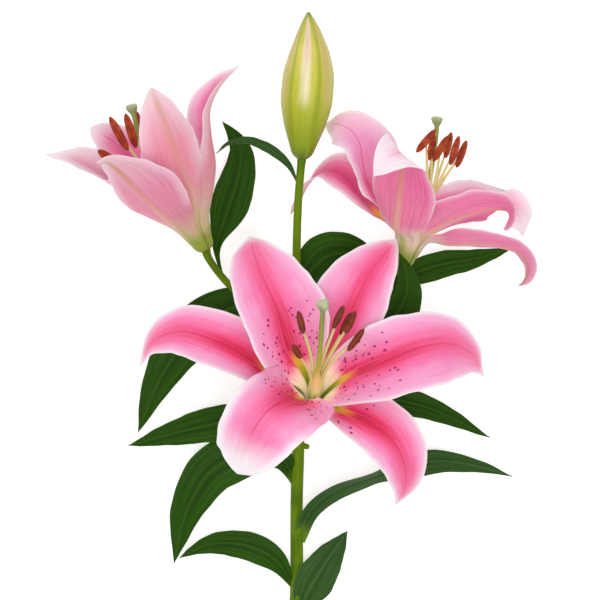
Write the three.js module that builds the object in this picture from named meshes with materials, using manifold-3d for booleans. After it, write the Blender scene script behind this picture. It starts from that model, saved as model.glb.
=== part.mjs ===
// Cut lily: one leafy stem with three open blooms and a closed bud, lying on its back.
//
// Millimetres, +Z up. The stem runs along Y with the bud at +Y. The front bloom looks
// up, and the left and right blooms open outward beside the bud. The stem's cut end and
// one petal of each side bloom touch the surface at z = 0.
//
// Every petal, sepal and leaf is a blade: a thin closed shell about a middle surface.
// The middle surface follows a rib curve, and each cross-section is a cupped arc.

import * as THREE from 'three';
import { mergeVertices } from 'three/addons/utils/BufferGeometryUtils.js';
import Module from 'manifold-3d';

const wasm = await Module();
wasm.setup();

// ---------------------------------------------------------------- driving dimensions

const GAP = 0.3; // clearance between two pieces that touch
const SHEET = { tepal: 1.0, leaf: 0.8 }; // blade thickness
const GRID = { tepal: [12, 6], leaf: [10, 4] }; // steps along and across a blade
const TIP_HALF_WIDTH = 0.5;
const SETTLE = 0.4; // what comes this near the surface lies flat on it
const PHASE_STEP = 0.27; // turn of the margin's waves from one blade to the next

// Outlines as fractions of the half-width: the width at the root, the place of the
// widest point along the blade, and how full the shoulder and the point are.
const OUTLINE = {
  petal: { claw: 0.15, widest: 0.52, rise: 0.75, shoulder: 2.2, point: 0.9 },
  sepal: { claw: 0.22, widest: 0.5, rise: 1.0, shoulder: 2.0, point: 0.95 },
  leaf: { claw: 0.16, widest: 0.42, rise: 0.8, shoulder: 1.8, point: 1.0 },
};

// Cup of the cross-section: half the arc's angle in degrees along the blade.
const CUP = {
  petal: [[0, 48], [0.12, 58], [0.25, 44], [0.42, 26], [0.75, 12], [1, 6]],
  sepal: [[0, 38], [0.12, 40], [0.4, 24], [0.75, 14], [1, 8]],
  leaf: [[0, 50], [0.2, 26], [0.6, 12], [1, 8]],
};

// Waves of the margin: height, and how many run along the blade.
const WAVE = {
  petal: { ripple: 1.1, waves: 2.6 },
  sepal: { ripple: 0.6, waves: 2.2 },
  leaf: { ripple: 0.7, waves: 2.2 },
};

// Roll about the rib in degrees, and how much wider one half of the blade is.
const LEVEL = { roll: [[0, 0]], lean: [[0, 0]] };

// Where a tepal leaves the receptacle: distance from the bloom's axis and height.
const THROAT = {
  petal: [[4.1, 0.5], [7.8, 15]],
  sepal: [[5.6, 0.5], [10.1, 14]],
};

// Room in the throat by distance from the tepal's root: its greatest half-width, and the
// least cup that keeps it round the axis and clear of its neighbours.
const ROOM = {
  petal: {
    half: [[0, 3.8], [15, 7.3], [25, 10.5], [36, 16], [46, 24], [56, 60]],
    cup: [[0, 48], [10, 58], [30, 52], [55, 1]],
  },
  sepal: {
    half: [[0, 4.5], [14, 8], [25, 11], [36, 16], [46, 24], [56, 60]],
    cup: [[0, 38], [12, 42], [30, 40], [55, 1]],
  },
  leaf: { half: [[0, 60]], cup: [[0, 1]] },
};
const RECEPTACLE_RADIUS = 6;
// Ovary, thin style and three-lobed stigma.
const PISTIL_RADIUS = [
  [0, 1.5], [0.05, 1.9], [0.16, 2.5], [0.3, 2.4], [0.42, 1.2], [0.9, 1.3], [0.96, 4], [1, 2.6],
];
const STAMEN_RING = { inner: 2.0, outer: 3.1, low: 0.3, high: 1.5 };
const FILAMENT_RADIUS = [[0, 0.75], [1, 0.6]];
const ANTHER_RADIUS = [[0, 0.8], [0.2, 1.9], [0.8, 1.9], [1, 0.8]];

const STEM = {
  path: [
    [-3, -222, 3.9], [-3, -200, 3.9], [-2, -176, 6.5], [-2, -122, 13], [-1, -91, 18], [-1, -60, 22],
    [-1, -24, 26], [-2, 0, 28], [-2, 30, 30], [-1, 60, 31.5], [1, 84, 33],
  ],
  radius: [[0, 4.2], [0.3, 3.8], [0.6, 3.4], [0.72, 2.6], [0.96, 2.4], [1, 3.2]],
};
// Stub where a leaf was taken off.
const STUB = {
  path: [[-1, -88, 18.5], [3, -88.5, 19.5], [5.5, -89, 20]],
  radius: [[0, 1.9], [0.8, 1.7], [1, 1.2]],
};

const PEDICELS = {
  front: [[-1, -84, 19], [2, -79, 26], [6, -70, 36]],
  left: [[-2, -21, 26], [-23, -7, 30], [-44, 11, 36], [-55, 26, 38.5]],
  right: [[-1, -21, 26], [21, -9, 30], [43, 5, 34], [57, 17, 38]],
};
const PEDICEL_RADIUS = { root: 2.8, neck: 2.2 };

const BUD = {
  path: [[1, 84.5, 33.1], [3, 110, 36.5], [5.5, 145, 40], [5, 171, 42]],
  radius: [
    [0, 3.2], [0.03, 6], [0.08, 7.8], [0.25, 12.6], [0.42, 15.2], [0.55, 15], [0.7, 12.4],
    [0.84, 8], [0.94, 4], [1, 0.8],
  ],
};

// Blooms: the foot of each and the way it faces. Tepals go round the axis in steps of
// 60 degrees, a petal of the inner whorl and a sepal of the outer one in turn. A path
// gives the tepal's rib past the throat.
const BLOOMS = {
  front: {
    foot: [8, -60, 44],
    axis: [0.05, 0.45, 0.89],
    first: 'petal',
    tepals: {
      right: {
        width: 51,
        lean: [[0, 0], [0.3, -0.08], [0.6, -0.12], [1, -0.2]],
        path: [
          [28, -43.5, 84], [48, -34.5, 95], [68, -26.5, 95], [86, -25, 88], [99, -31, 79], [107, -44, 71],
        ],
      },
      upper_right: {
        width: 46,
        lean: [[0, 0], [0.4, 0.12], [0.7, 0.1], [1, 0]],
        path: [[22, -23, 66], [31, -3, 69], [41, 16, 66], [51, 29, 60], [57, 36, 54]],
      },
      upper_left: {
        width: 51,
        lean: [[0, 0], [0.45, -0.08], [0.75, -0.05], [1, 0]],
        path: [[-5, -29, 76], [-12, -7, 84], [-21, 13, 82], [-27, 28, 72], [-29, 37, 61]],
      },
      left: {
        width: 38,
        path: [
          [-17, -43, 66], [-33, -31, 78], [-52, -22, 81], [-70, -18, 76], [-85, -24, 69], [-93.5, -39, 61],
        ],
      },
      lower_left: {
        width: 48,
        outline: { ...OUTLINE.petal, widest: 0.44, rise: 0.5, shoulder: 3, point: 0.65 },
        cup: [[0, 48], [0.12, 58], [0.3, 22], [1, 6]],
        room: { ...ROOM.petal, half: [[0, 3.8], [15, 6.5], [23, 7.5], [30, 12.2], [38, 25], [50, 60]] },
        lean: [[0, 0], [0.2, -0.05], [0.3, 0.05], [0.6, 0.12], [0.8, 0.08], [1, 0]],
        roll: [[0, 0], [0.14, 12], [0.35, -10], [0.6, -14], [1, 0]],
        path: [
          [-2, -56, 84], [-9.5, -57, 99], [-18.5, -62.5, 108], [-25.5, -72, 108], [-31, -85, 101],
          [-35, -99.5, 87],
        ],
      },
      lower_right: {
        width: 36,
        path: [
          [27, -65, 76], [43, -72, 83], [53, -80, 84], [60, -94, 80], [61, -107, 73], [56, -120, 63],
        ],
      },
    },
    pistil: [[9, -49, 68], [11, -33, 94], [12, -16, 114], [13, -1, 129]],
    stamens: [
      [[15.5, -39, 83], [27, -29, 98], [36, -16, 110]],
      [[14.5, -36.5, 84], [25.5, -19, 106], [31, -6, 116]],
      [[12.7, -34, 88], [18.5, -16, 110], [24.5, -3, 118]],
      [[7.3, -37, 86], [2, -19, 108], [-1, -6, 117]],
      [[5.5, -42, 84], [0.5, -33, 100], [-4, -25, 112]],
      [[14.5, -38.5, 79.5], [23, -20, 94], [29, -7, 102]],
    ],
  },
  left: {
    foot: [-58, 34, 40],
    axis: [-0.4465, 0.8397, 0.309],
    first: 'sepal',
    tepals: {
      right: {
        width: 37,
        lean: [[0, 0], [0.1, 0], [0.25, -0.22], [0.4, -0.22], [0.6, 0.22], [0.8, 0.2], [1, 0]],
        cup: [[0, 38], [0.12, 42], [0.3, 52], [0.7, 60], [1, 30]],
        roll: [[0, 0], [0.12, -6], [0.3, -4], [0.5, 10], [0.65, 15], [1, 15]],
        path: [
          [-54, 57, 42], [-51, 80, 43], [-53.5, 98, 45], [-54, 113, 46], [-49, 125, 45],
          [-43, 133, 43], [-36, 139, 41],
        ],
      },
      far_right: {
        width: 26,
        lean: [[0, 0], [0.35, 0.15], [0.7, 0], [1, 0]],
        roll: [[0, 0], [0.4, 18], [1, 8]],
        path: [
          [-65, 63, 38], [-73.5, 81, 29], [-78, 97, 14], [-79, 109, 4], [-83, 118, -0.7],
          [-86, 125, -1.5],
        ],
      },
      far_left: {
        width: 35,
        outline: { ...OUTLINE.sepal, shoulder: 3, point: 0.65 },
        roll: [[0, 0], [0.5, 14], [1, 12]],
        path: [[-76, 59, 26], [-97, 79, 17], [-112, 95, 15], [-127, 104, 18]],
      },
      left: {
        width: 49,
        outline: { ...OUTLINE.petal, shoulder: 3.4, point: 0.65 },
        cup: [[0, 48], [0.12, 58], [0.3, 46], [0.6, 30], [1, 8]],
        path: [[-80, 49, 46], [-100, 62, 52], [-118, 75, 57], [-134, 83, 58], [-148, 86, 54]],
      },
      near_left: {
        width: 45,
        outline: { ...OUTLINE.sepal, widest: 0.55, shoulder: 2.8 },
        room: { ...ROOM.sepal, half: [[0, 4.5], [14, 8.5], [25, 12.5], [36, 17], [46, 24], [56, 60]] },
        lean: [[0, 0], [0.3, -0.05], [0.5, 0.05], [0.7, 0.28], [0.85, 0.35], [1, 0.2]],
        path: [[-80, 49.5, 75], [-94, 64.5, 97], [-103, 74, 111], [-108, 77, 117], [-113, 76, 117]],
      },
      near_right: {
        width: 40,
        outline: { ...OUTLINE.petal, point: 0.8 },
        lean: [[0, 0], [0.3, -0.22], [0.5, -0.18], [0.7, -0.08], [1, -0.08]],
        path: [[-62.5, 60, 63], [-70, 79, 82], [-77.5, 101, 97], [-84, 120, 100]],
      },
    },
    pistil: [[-70, 57, 51], [-84, 76, 57], [-93, 92, 60], [-98.3, 114.5, 62]],
    stamens: [
      [[-70.5, 66, 52], [-93.8, 91, 52], [-96, 111, 53]],
      [[-76, 66, 44], [-91, 89, 46], [-89, 107, 40]],
      [[-78, 62, 48], [-97, 78, 48], [-105, 84, 62]],
      [[-82, 61, 58], [-106, 79, 69], [-116, 86, 82]],
      [[-79.5, 61.5, 64], [-99, 86, 78], [-109, 105, 86]],
      [[-77, 64.5, 61.5], [-95, 88, 70], [-101, 108, 74]],
    ],
  },
  right: {
    foot: [62, 25, 40],
    axis: [0.2985, 0.9186, 0.2588],
    first: 'sepal',
    tepals: {
      right: {
        width: 32,
        roll: [[0, 0], [0.12, 0], [0.35, -34], [0.6, -30], [1, -10]],
        path: [
          [88, 33, 47], [104, 33.5, 52], [120, 32, 54], [130, 28, 53], [135, 19, 51], [133, 11, 49],
          [128, 8, 48],
        ],
      },
      far_right: {
        width: 35,
        path: [
          [76, 50, 36], [88, 58, 28], [103, 63, 16], [118, 66, 5], [127, 66, -0.5], [133, 65, -1.5],
        ],
      },
      far_left: {
        width: 25,
        outline: { ...OUTLINE.sepal, shoulder: 3.2, point: 0.7 },
        lean: [[0, -0.1], [0.2, -0.5], [0.4, -0.4], [0.6, -0.1], [1, 0]],
        roll: [[0, 0], [0.25, -15], [0.45, -42], [0.75, -50], [1, -30]],
        path: [
          [48, 50, 31], [41, 58, 28], [33.5, 67.5, 26], [26, 75.5, 24], [16.5, 78.5, 21], [8, 74.5, 17],
          [2, 66, 13], [-2, 59, 10], [-6, 52, 8],
        ],
      },
      left: {
        width: 44,
        lean: [[0, 0], [0.2, 0], [0.5, -0.56], [0.65, -0.3], [0.8, 0], [1, 0]],
        roll: [[0, 0], [0.15, 0], [0.3, -20], [0.5, -48], [0.7, -52], [1, -40]],
        path: [
          [47.5, 57, 42], [40, 71, 40], [37.5, 83, 38], [36, 93, 37], [31, 101, 34], [23, 105.5, 29],
          [15, 106.5, 22],
        ],
      },
      near_left: {
        width: 43,
        lean: [[0, 0], [0.3, -0.04], [0.6, 0], [1, 0]],
        room: { ...ROOM.sepal, half: [[0, 4.5], [14, 8.2], [25, 12.5], [36, 17], [46, 24], [56, 60]] },
        roll: [[0, 0], [0.5, 0], [0.8, -20], [1, -20]],
        path: [[56.5, 41, 62], [57, 57, 82], [58, 72, 98], [57.5, 82, 108], [50.5, 80, 117], [41, 69, 114]],
      },
      near_right: {
        width: 46,
        outline: { ...OUTLINE.petal, widest: 0.38, shoulder: 1.5 },
        path: [
          [75, 39, 58], [87, 46, 68], [98, 50, 74], [110, 53, 76], [119, 53, 74], [126, 50, 69],
          [130, 44, 62], [131, 37, 56],
        ],
      },
    },
    pistil: [[70, 46, 47], [75, 64, 53], [78.5, 86, 56], [81, 107.5, 58.5]],
    stamens: [
      [[79.8, 65, 56], [87, 78, 72], [92, 95, 74]],
      [[80.5, 64.5, 53], [91, 77, 66], [97, 93, 66]],
      [[78.5, 66, 49], [86, 84, 46], [90, 100, 40]],
      [[73.5, 64, 58], [67, 85, 78], [78, 98, 84]],
      [[75.8, 64.5, 58.5], [75, 81, 68], [78, 96, 70]],
      [[78, 65, 58.5], [77, 80, 74], [85.5, 95, 76]],
    ],
  },
};

// Leaves: each rib starts inside the stem or pedicel that carries the leaf.
const LEAVES = {
  upper_left: {
    width: 31,
    path: [
      [-2, -7, 27], [-12, -2, 23], [-24, -1, 20], [-44, -6, 19], [-67, -22, 18], [-85, -47, 13],
      [-99, -81, 8],
    ],
  },
  middle_left: {
    width: 22,
    path: [[-1, -77, 20], [-24, -72, 25], [-47, -74, 22], [-73, -80, 14], [-105, -89, 7]],
  },
  lower_left: {
    width: 30,
    path: [
      [-2, -113, 14], [-12, -95, 20], [-30, -93, 18], [-53, -103, 16], [-69, -128, 12], [-77, -161, 6],
    ],
  },
  bottom_left: {
    width: 18,
    path: [[-3, -177, 7], [-15, -158, 14], [-33, -149, 15], [-55, -149, 10], [-74, -158, 4]],
  },
  bottom_right: { width: 24, path: [[-2, -194, 5], [5, -178, 10], [15, -161, 12], [29, -141, 9]] },
  lower_right: {
    width: 19,
    outline: { ...OUTLINE.leaf, claw: 0.5 },
    roll: [[0, 0], [0.15, 35], [0.42, 60], [0.62, 10], [1, 0]],
    path: [
      [-1, -146, 10], [6, -128, 17], [20, -116, 21], [41, -108, 21], [64, -101, 19], [85, -98, 15],
      [107, -101, 11], [130, -108, 6],
    ],
  },
  middle_right: {
    width: 18,
    path: [[-1, -78, 20], [24, -63, 24], [51, -60, 21], [79, -66, 15], [116, -84, 7]],
  },
  upper_right: {
    width: 17,
    path: [[42, 4, 34], [61, 13, 30], [84, 21, 23], [106, 25, 17], [130, 32, 10]],
  },
  inner_right: {
    width: 31,
    path: [[-1, -45, 24], [27, -33, 28], [52, -15, 37], [63, 2, 45], [62.5, 17, 49], [58.5, 28, 50]],
  },
  top_right: { width: 29, path: [[-2, 0, 28], [7, 18, 24], [19, 27.5, 20], [35, 26.5, 16], [49, 13, 12]] },
  top_left: {
    width: 24,
    outline: { ...OUTLINE.leaf, claw: 0.08, widest: 0.48, rise: 2 },
    path: [
      [-46, 12, 36], [-50, 32, 28], [-44, 53, 22], [-37, 76, 18], [-36, 91, 17], [-40, 99, 18],
      [-47, 108, 20],
    ],
  },
  bud_bract: {
    width: 6,
    path: [[-1, 69, 32], [-7, 81, 34], [-18, 90, 37], [-30, 95, 37], [-42, 94, 34], [-50, 88, 31]],
  },
};

const COLOURS = {
  petal: { color: 0xea7fb0, roughness: 0.5 },
  sepal: { color: 0xe58fb6, roughness: 0.5 },
  leaf: { color: 0x2f5a20, roughness: 0.45 },
  stem: { color: 0x6b8e2e, roughness: 0.5 },
  bud: { color: 0xc3c96a, roughness: 0.5 },
  stamens: { color: 0x9a3a18, roughness: 0.8 },
  pistil: { color: 0xa9bf6e, roughness: 0.5 },
};

// ---------------------------------------------------------------- curves and knots

const vec = (p) => new THREE.Vector3(...p);

// Value at s of a list of [place, value] knots: a smooth curve that never overshoots.
function eased(knots, s) {
  const last = knots.length - 1;
  if (s <= knots[0][0]) return knots[0][1];
  if (s >= knots[last][0]) return knots[last][1];
  const slope = (i) => (knots[i + 1][1] - knots[i][1]) / (knots[i + 1][0] - knots[i][0]);
  const lean = (i) => {
    const before = slope(Math.max(i - 1, 0));
    const after = slope(Math.min(i, last - 1));
    return before * after > 0 ? (2 * before * after) / (before + after) : 0;
  };
  const i = knots.findIndex(([place]) => place > s) - 1;
  const [[s0, v0], [s1, v1]] = [knots[i], knots[i + 1]];
  const span = s1 - s0;
  const t = (s - s0) / span;
  const rise = t * t * (3 - 2 * t);
  return v0 + (v1 - v0) * rise + span * t * (1 - t) * (lean(i) * (1 - t) - lean(i + 1) * t);
}

const settled = (z) => (z < SETTLE ? 0 : z);

function ribCurve(path) {
  const curve = new THREE.CatmullRomCurve3(path.map(vec), false, 'centripetal');
  curve.arcLengthDivisions = 400;
  return curve;
}

// ---------------------------------------------------------------- blades

// Half-width at s as a fraction of the widest, from the root (0) to the tip (1).
function outlineAt({ claw, widest, rise, shoulder, point }, s) {
  if (s < widest) {
    const up = THREE.MathUtils.smoothstep(s, 0, widest) ** rise;
    return claw + (1 - claw) * up;
  }
  const out = (s - widest) / (1 - widest);
  return (1 - out ** shoulder) ** point;
}

// Grid of points on a blade's middle surface, rows along the rib and columns across.
function middleSurface(spec, rows, cols) {
  const curve = ribCurve(spec.path);
  const grid = [];
  for (let i = 0; i <= rows; i += 1) {
    const s = i / rows;
    const centre = curve.getPointAt(s);
    const along = curve.getTangentAt(s);
    const side = spec.across ? spec.across.clone() : new THREE.Vector3(0, 0, 1).cross(along);
    side.addScaledVector(along, -side.dot(along)).normalize();
    side.applyAxisAngle(along, THREE.MathUtils.degToRad(eased(spec.roll, s)));
    const face = along.clone().cross(side);
    const far = s * curve.getLength();
    const wanted = (spec.width / 2) * outlineAt(spec.outline, s);
    const half = Math.max(Math.min(wanted, eased(spec.room.half, far)), TIP_HALF_WIDTH);
    const cup = THREE.MathUtils.degToRad(Math.max(eased(spec.cup, s), eased(spec.room.cup, far)));
    const lean = eased(spec.lean, s);
    const row = [];
    for (let j = 0; j <= cols; j += 1) {
      const u = (2 * j) / cols - 1;
      const reach = half * (1 + lean * Math.sign(u));
      const arc = (reach / cup) * Math.sin(u * cup);
      const rise = (reach / cup) * (1 - Math.cos(u * cup));
      const wave = Math.sin(2 * Math.PI * (spec.waves * s + spec.phase + (u < 0 ? 0.37 : 0)));
      const lift = rise + spec.ripple * wave * Math.abs(u) ** 3 * THREE.MathUtils.smoothstep(s, 0.2, 0.5);
      row.push(centre.clone().addScaledVector(side, arc).addScaledVector(face, lift));
    }
    grid.push(row);
  }
  return grid;
}

// Closed shell of even thickness about a grid, with the same diagonals on both faces.
function shellGeometry(grid, thick) {
  const rows = grid.length - 1;
  const cols = grid[0].length - 1;
  const at = (i, j) => grid[Math.min(Math.max(i, 0), rows)][Math.min(Math.max(j, 0), cols)];
  grid.flat().forEach((p) => { p.z = Math.max(p.z, thick / 2); });
  const points = [];
  [0.5, -0.5].forEach((side) => {
    for (let i = 0; i <= rows; i += 1) {
      for (let j = 0; j <= cols; j += 1) {
        const along = at(i + 1, j).clone().sub(at(i - 1, j));
        const across = at(i, j + 1).clone().sub(at(i, j - 1));
        const p = grid[i][j].clone().addScaledVector(along.cross(across).normalize(), side * thick);
        points.push(p.x, p.y, settled(p.z));
      }
    }
  });
  const back = (rows + 1) * (cols + 1);
  const id = (i, j) => i * (cols + 1) + j;
  const faces = [];
  const wall = (p, q) => faces.push(q, p, p + back, q, p + back, q + back);
  for (let i = 0; i < rows; i += 1) {
    for (let j = 0; j < cols; j += 1) {
      const [a, b, c, d] = [id(i, j), id(i + 1, j), id(i + 1, j + 1), id(i, j + 1)];
      faces.push(a, b, c, a, c, d);
      faces.push(a + back, c + back, b + back, a + back, d + back, c + back);
    }
    wall(id(i, 0), id(i + 1, 0));
    wall(id(i + 1, cols), id(i, cols));
  }
  for (let j = 0; j < cols; j += 1) {
    wall(id(rows, j), id(rows, j + 1));
    wall(id(0, j + 1), id(0, j));
  }
  return closedGeometry(points, faces);
}

function bladeGeometry(kind, spec) {
  const family = kind === 'leaf' ? 'leaf' : 'tepal';
  const plain = { outline: OUTLINE[kind], cup: CUP[kind], room: ROOM[kind], ...LEVEL, ...WAVE[kind] };
  const shape = { ...plain, ...spec };
  return shellGeometry(middleSurface(shape, ...GRID[family]), SHEET[family]);
}

// ---------------------------------------------------------------- round pieces

function closedGeometry(points, faces) {
  const geometry = new THREE.BufferGeometry();
  geometry.setAttribute('position', new THREE.Float32BufferAttribute(points, 3));
  geometry.setIndex(faces);
  return geometry;
}

// Round piece along a path, with its radius by knots and a number of shallow lobes.
function sweepGeometry({ path, radius, sides, steps, lobes = 0, relief = 0, grow = 0 }) {
  const curve = ribCurve(path);
  const points = [];
  const faces = [];
  const first = curve.getTangentAt(0);
  let side = new THREE.Vector3(0, 0, 1).cross(first).normalize();
  for (let i = 0; i <= steps; i += 1) {
    const s = i / steps;
    const centre = curve.getPointAt(s);
    const along = curve.getTangentAt(s);
    side = side.clone().addScaledVector(along, -side.dot(along)).normalize();
    const up = along.clone().cross(side);
    for (let k = 0; k < sides; k += 1) {
      const angle = (2 * Math.PI * (k + 0.5)) / sides;
      const r = (eased(radius, s) + grow) * (1 + relief * Math.cos(lobes * angle));
      const p = centre.clone();
      p.addScaledVector(side, r * Math.cos(angle)).addScaledVector(up, r * Math.sin(angle));
      points.push(p.x, p.y, grow ? p.z : settled(p.z));
    }
  }
  for (let i = 0; i < steps; i += 1) {
    for (let k = 0; k < sides; k += 1) {
      const next = (k + 1) % sides;
      const [a, b] = [i * sides + k, i * sides + next];
      faces.push(a, b, b + sides, a, b + sides, a + sides);
    }
  }
  const start = points.length / 3;
  const ends = [curve.getPointAt(0), curve.getPointAt(1)];
  ends.forEach((p) => points.push(p.x, p.y, p.z));
  const last = steps * sides;
  for (let k = 0; k < sides; k += 1) {
    const next = (k + 1) % sides;
    faces.push(start, next, k);
    faces.push(start + 1, last + k, last + next);
  }
  return closedGeometry(points, faces);
}

// ---------------------------------------------------------------- joining and cutting

function toSolid(geometry) {
  const plain = geometry.clone();
  plain.deleteAttribute('normal');
  plain.deleteAttribute('uv');
  const merged = mergeVertices(plain, 1e-4);
  const mesh = new wasm.Mesh({
    numProp: 3,
    vertProperties: new Float32Array(merged.attributes.position.array),
    triVerts: new Uint32Array(merged.index.array),
  });
  return new wasm.Manifold(mesh);
}

function toGeometry(solid) {
  const { vertProperties, triVerts } = solid.getMesh();
  return closedGeometry(Array.from(vertProperties), Array.from(triVerts));
}

function joined(geometries) {
  return toGeometry(geometries.map(toSolid).reduce((whole, next) => whole.add(next)));
}

function cutBy(geometry, tool) {
  return toGeometry(toSolid(geometry).subtract(toSolid(tool)));
}

// ---------------------------------------------------------------- stem and bud

// Axis, and the two directions across it, of a bloom.
function bloomFrame({ foot, axis }) {
  const up = vec(axis).normalize();
  const e1 = new THREE.Vector3(1, 0, 0).addScaledVector(up, -up.x).normalize();
  return { foot: vec(foot), up, e1, e2: up.clone().cross(e1) };
}

function outward({ e1, e2 }, degrees) {
  const turn = THREE.MathUtils.degToRad(degrees);
  return e1.clone().multiplyScalar(Math.cos(turn)).addScaledVector(e2, Math.sin(turn));
}

// Point at a distance from a bloom's axis and a height above its foot.
function inBloom(frame, degrees, distance, height) {
  const p = frame.foot.clone().addScaledVector(outward(frame, degrees), distance);
  return p.addScaledVector(frame.up, height).toArray();
}

function pedicelSpec(name, grow = 0) {
  const frame = bloomFrame(BLOOMS[name]);
  const { root, neck } = PEDICEL_RADIUS;
  return {
    path: [...PEDICELS[name], inBloom(frame, 0, 0, -4), inBloom(frame, 0, 0, 0)],
    radius: [[0, root], [0.3, neck], [0.84, neck], [1, RECEPTACLE_RADIUS]],
    sides: 8,
    steps: 10,
    grow,
  };
}

function stemGeometry(grow = 0) {
  const stem = sweepGeometry({ ...STEM, sides: 12, steps: 20, grow });
  const pedicels = Object.keys(PEDICELS).map((name) => sweepGeometry(pedicelSpec(name, grow)));
  const stub = sweepGeometry({ ...STUB, sides: 6, steps: 3, grow });
  return joined([stem, ...pedicels, stub]);
}

function budGeometry() {
  return sweepGeometry({ ...BUD, sides: 15, steps: 14, lobes: 3, relief: 0.05 });
}

// ---------------------------------------------------------------- blooms

function tepalGeometry(bloom, index, spec) {
  const frame = bloomFrame(bloom);
  const kind = tepalKind(bloom, index);
  const degrees = 60 * index;
  const root = THROAT[kind].map(([distance, height]) => inBloom(frame, degrees, distance, height));
  const across = frame.up.clone().cross(outward(frame, degrees));
  return bladeGeometry(kind, { across, phase: index * PHASE_STEP, ...spec, path: [...root, ...spec.path] });
}

function tepalKind({ first }, index) {
  const second = first === 'petal' ? 'sepal' : 'petal';
  return index % 2 === 0 ? first : second;
}

function pistilGeometry(bloom) {
  const frame = bloomFrame(bloom);
  const root = [inBloom(frame, 0, 0, GAP), inBloom(frame, 0, 0, 8)];
  return sweepGeometry({
    path: [...root, ...bloom.pistil],
    radius: PISTIL_RADIUS,
    sides: 9,
    steps: 16,
    lobes: 3,
    relief: 0.12,
  });
}

// Six filaments on a ring round the ovary, each with its anther across the top.
function stamensGeometry(bloom) {
  const frame = bloomFrame(bloom);
  const middle = (STAMEN_RING.inner + STAMEN_RING.outer) / 2;
  const parts = [stamenRing(frame)];
  bloom.stamens.forEach(([bend, low, high], index) => {
    const root = [[middle, STAMEN_RING.low + 0.4], [middle + 2.2, 13]];
    const path = root.map(([distance, height]) => inBloom(frame, 60 * index, distance, height));
    path.push(bend, vec(low).lerp(vec(high), 0.5).toArray());
    parts.push(sweepGeometry({ path, radius: FILAMENT_RADIUS, sides: 3, steps: 6 }));
    parts.push(antherGeometry(low, high));
  });
  return joined(parts);
}

function stamenRing(frame) {
  const { inner, outer, low, high } = STAMEN_RING;
  const profile = [[inner, low], [outer, low], [outer, high], [inner, high], [inner, low]];
  const ring = new THREE.LatheGeometry(profile.map(([x, y]) => new THREE.Vector2(x, y)), 12);
  ring.applyQuaternion(new THREE.Quaternion().setFromUnitVectors(new THREE.Vector3(0, 1, 0), frame.up));
  return ring.translate(...frame.foot.toArray());
}

function antherGeometry(low, high) {
  const middle = vec(low).lerp(vec(high), 0.5).toArray();
  return sweepGeometry({
    path: [low, middle, high],
    radius: ANTHER_RADIUS,
    sides: 5,
    steps: 4,
  });
}

// ---------------------------------------------------------------- assembly

function piece(name, kind, geometry) {
  geometry.computeVertexNormals();
  const mesh = new THREE.Mesh(geometry, new THREE.MeshStandardMaterial(COLOURS[kind]));
  mesh.name = name;
  return mesh;
}

const lily = new THREE.Group();
lily.add(piece('stem', 'stem', stemGeometry()));
lily.add(piece('bud', 'bud', budGeometry()));

const clearance = stemGeometry(GAP);
Object.entries(LEAVES).forEach(([name, spec], index) => {
  const blade = bladeGeometry('leaf', { phase: index * PHASE_STEP, ...spec });
  lily.add(piece(`leaf_${name}`, 'leaf', cutBy(blade, clearance)));
});

Object.entries(BLOOMS).forEach(([where, bloom]) => {
  Object.entries(bloom.tepals).forEach(([name, spec], index) => {
    const kind = tepalKind(bloom, index);
    lily.add(piece(`${where}_${kind}_${name}`, kind, tepalGeometry(bloom, index, spec)));
  });
  lily.add(piece(`${where}_pistil`, 'pistil', pistilGeometry(bloom)));
  lily.add(piece(`${where}_stamens`, 'stamens', stamensGeometry(bloom)));
});

// The origin is the middle of the bounding box's underside.
const box = new THREE.Box3().setFromObject(lily, true);
const centre = box.getCenter(new THREE.Vector3());
lily.position.set(-centre.x, -centre.y, 0);

export default lily;
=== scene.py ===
"""Cut lily: the fine petals, leaves, stem, bud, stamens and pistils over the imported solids.

The plant's tables are in millimetres, in the plant's own frame: the stem runs along Y and the
front bloom looks up. Every piece is made in metres in the row frame, beside its CAD node.
"""
import math

import bpy
import numpy as np
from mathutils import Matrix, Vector


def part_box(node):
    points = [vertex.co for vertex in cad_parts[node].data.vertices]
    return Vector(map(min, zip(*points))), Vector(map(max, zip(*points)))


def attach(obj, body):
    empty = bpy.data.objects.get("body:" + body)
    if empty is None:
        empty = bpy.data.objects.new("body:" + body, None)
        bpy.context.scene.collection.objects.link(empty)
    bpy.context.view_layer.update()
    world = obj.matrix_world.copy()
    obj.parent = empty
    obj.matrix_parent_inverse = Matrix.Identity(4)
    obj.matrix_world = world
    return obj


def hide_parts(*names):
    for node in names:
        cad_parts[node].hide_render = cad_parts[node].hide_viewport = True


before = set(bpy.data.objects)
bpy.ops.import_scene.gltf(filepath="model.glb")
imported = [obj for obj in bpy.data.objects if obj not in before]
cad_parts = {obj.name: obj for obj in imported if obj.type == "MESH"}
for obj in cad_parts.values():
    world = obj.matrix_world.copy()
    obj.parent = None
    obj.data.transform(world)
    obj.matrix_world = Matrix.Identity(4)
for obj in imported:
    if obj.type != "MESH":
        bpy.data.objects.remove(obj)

MM = 0.001
UP = np.array([0.0, 0.0, 1.0])
WHITE = (1, 1, 1, 1)
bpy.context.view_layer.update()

# ---------------------------------------------------------------- plant tables

# GAP is the air between a bloom's foot and its pistil, PHASE_STEP sets the waves of one blade
# apart from the next one's.
GAP = 0.3
PHASE_STEP = 0.27

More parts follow.
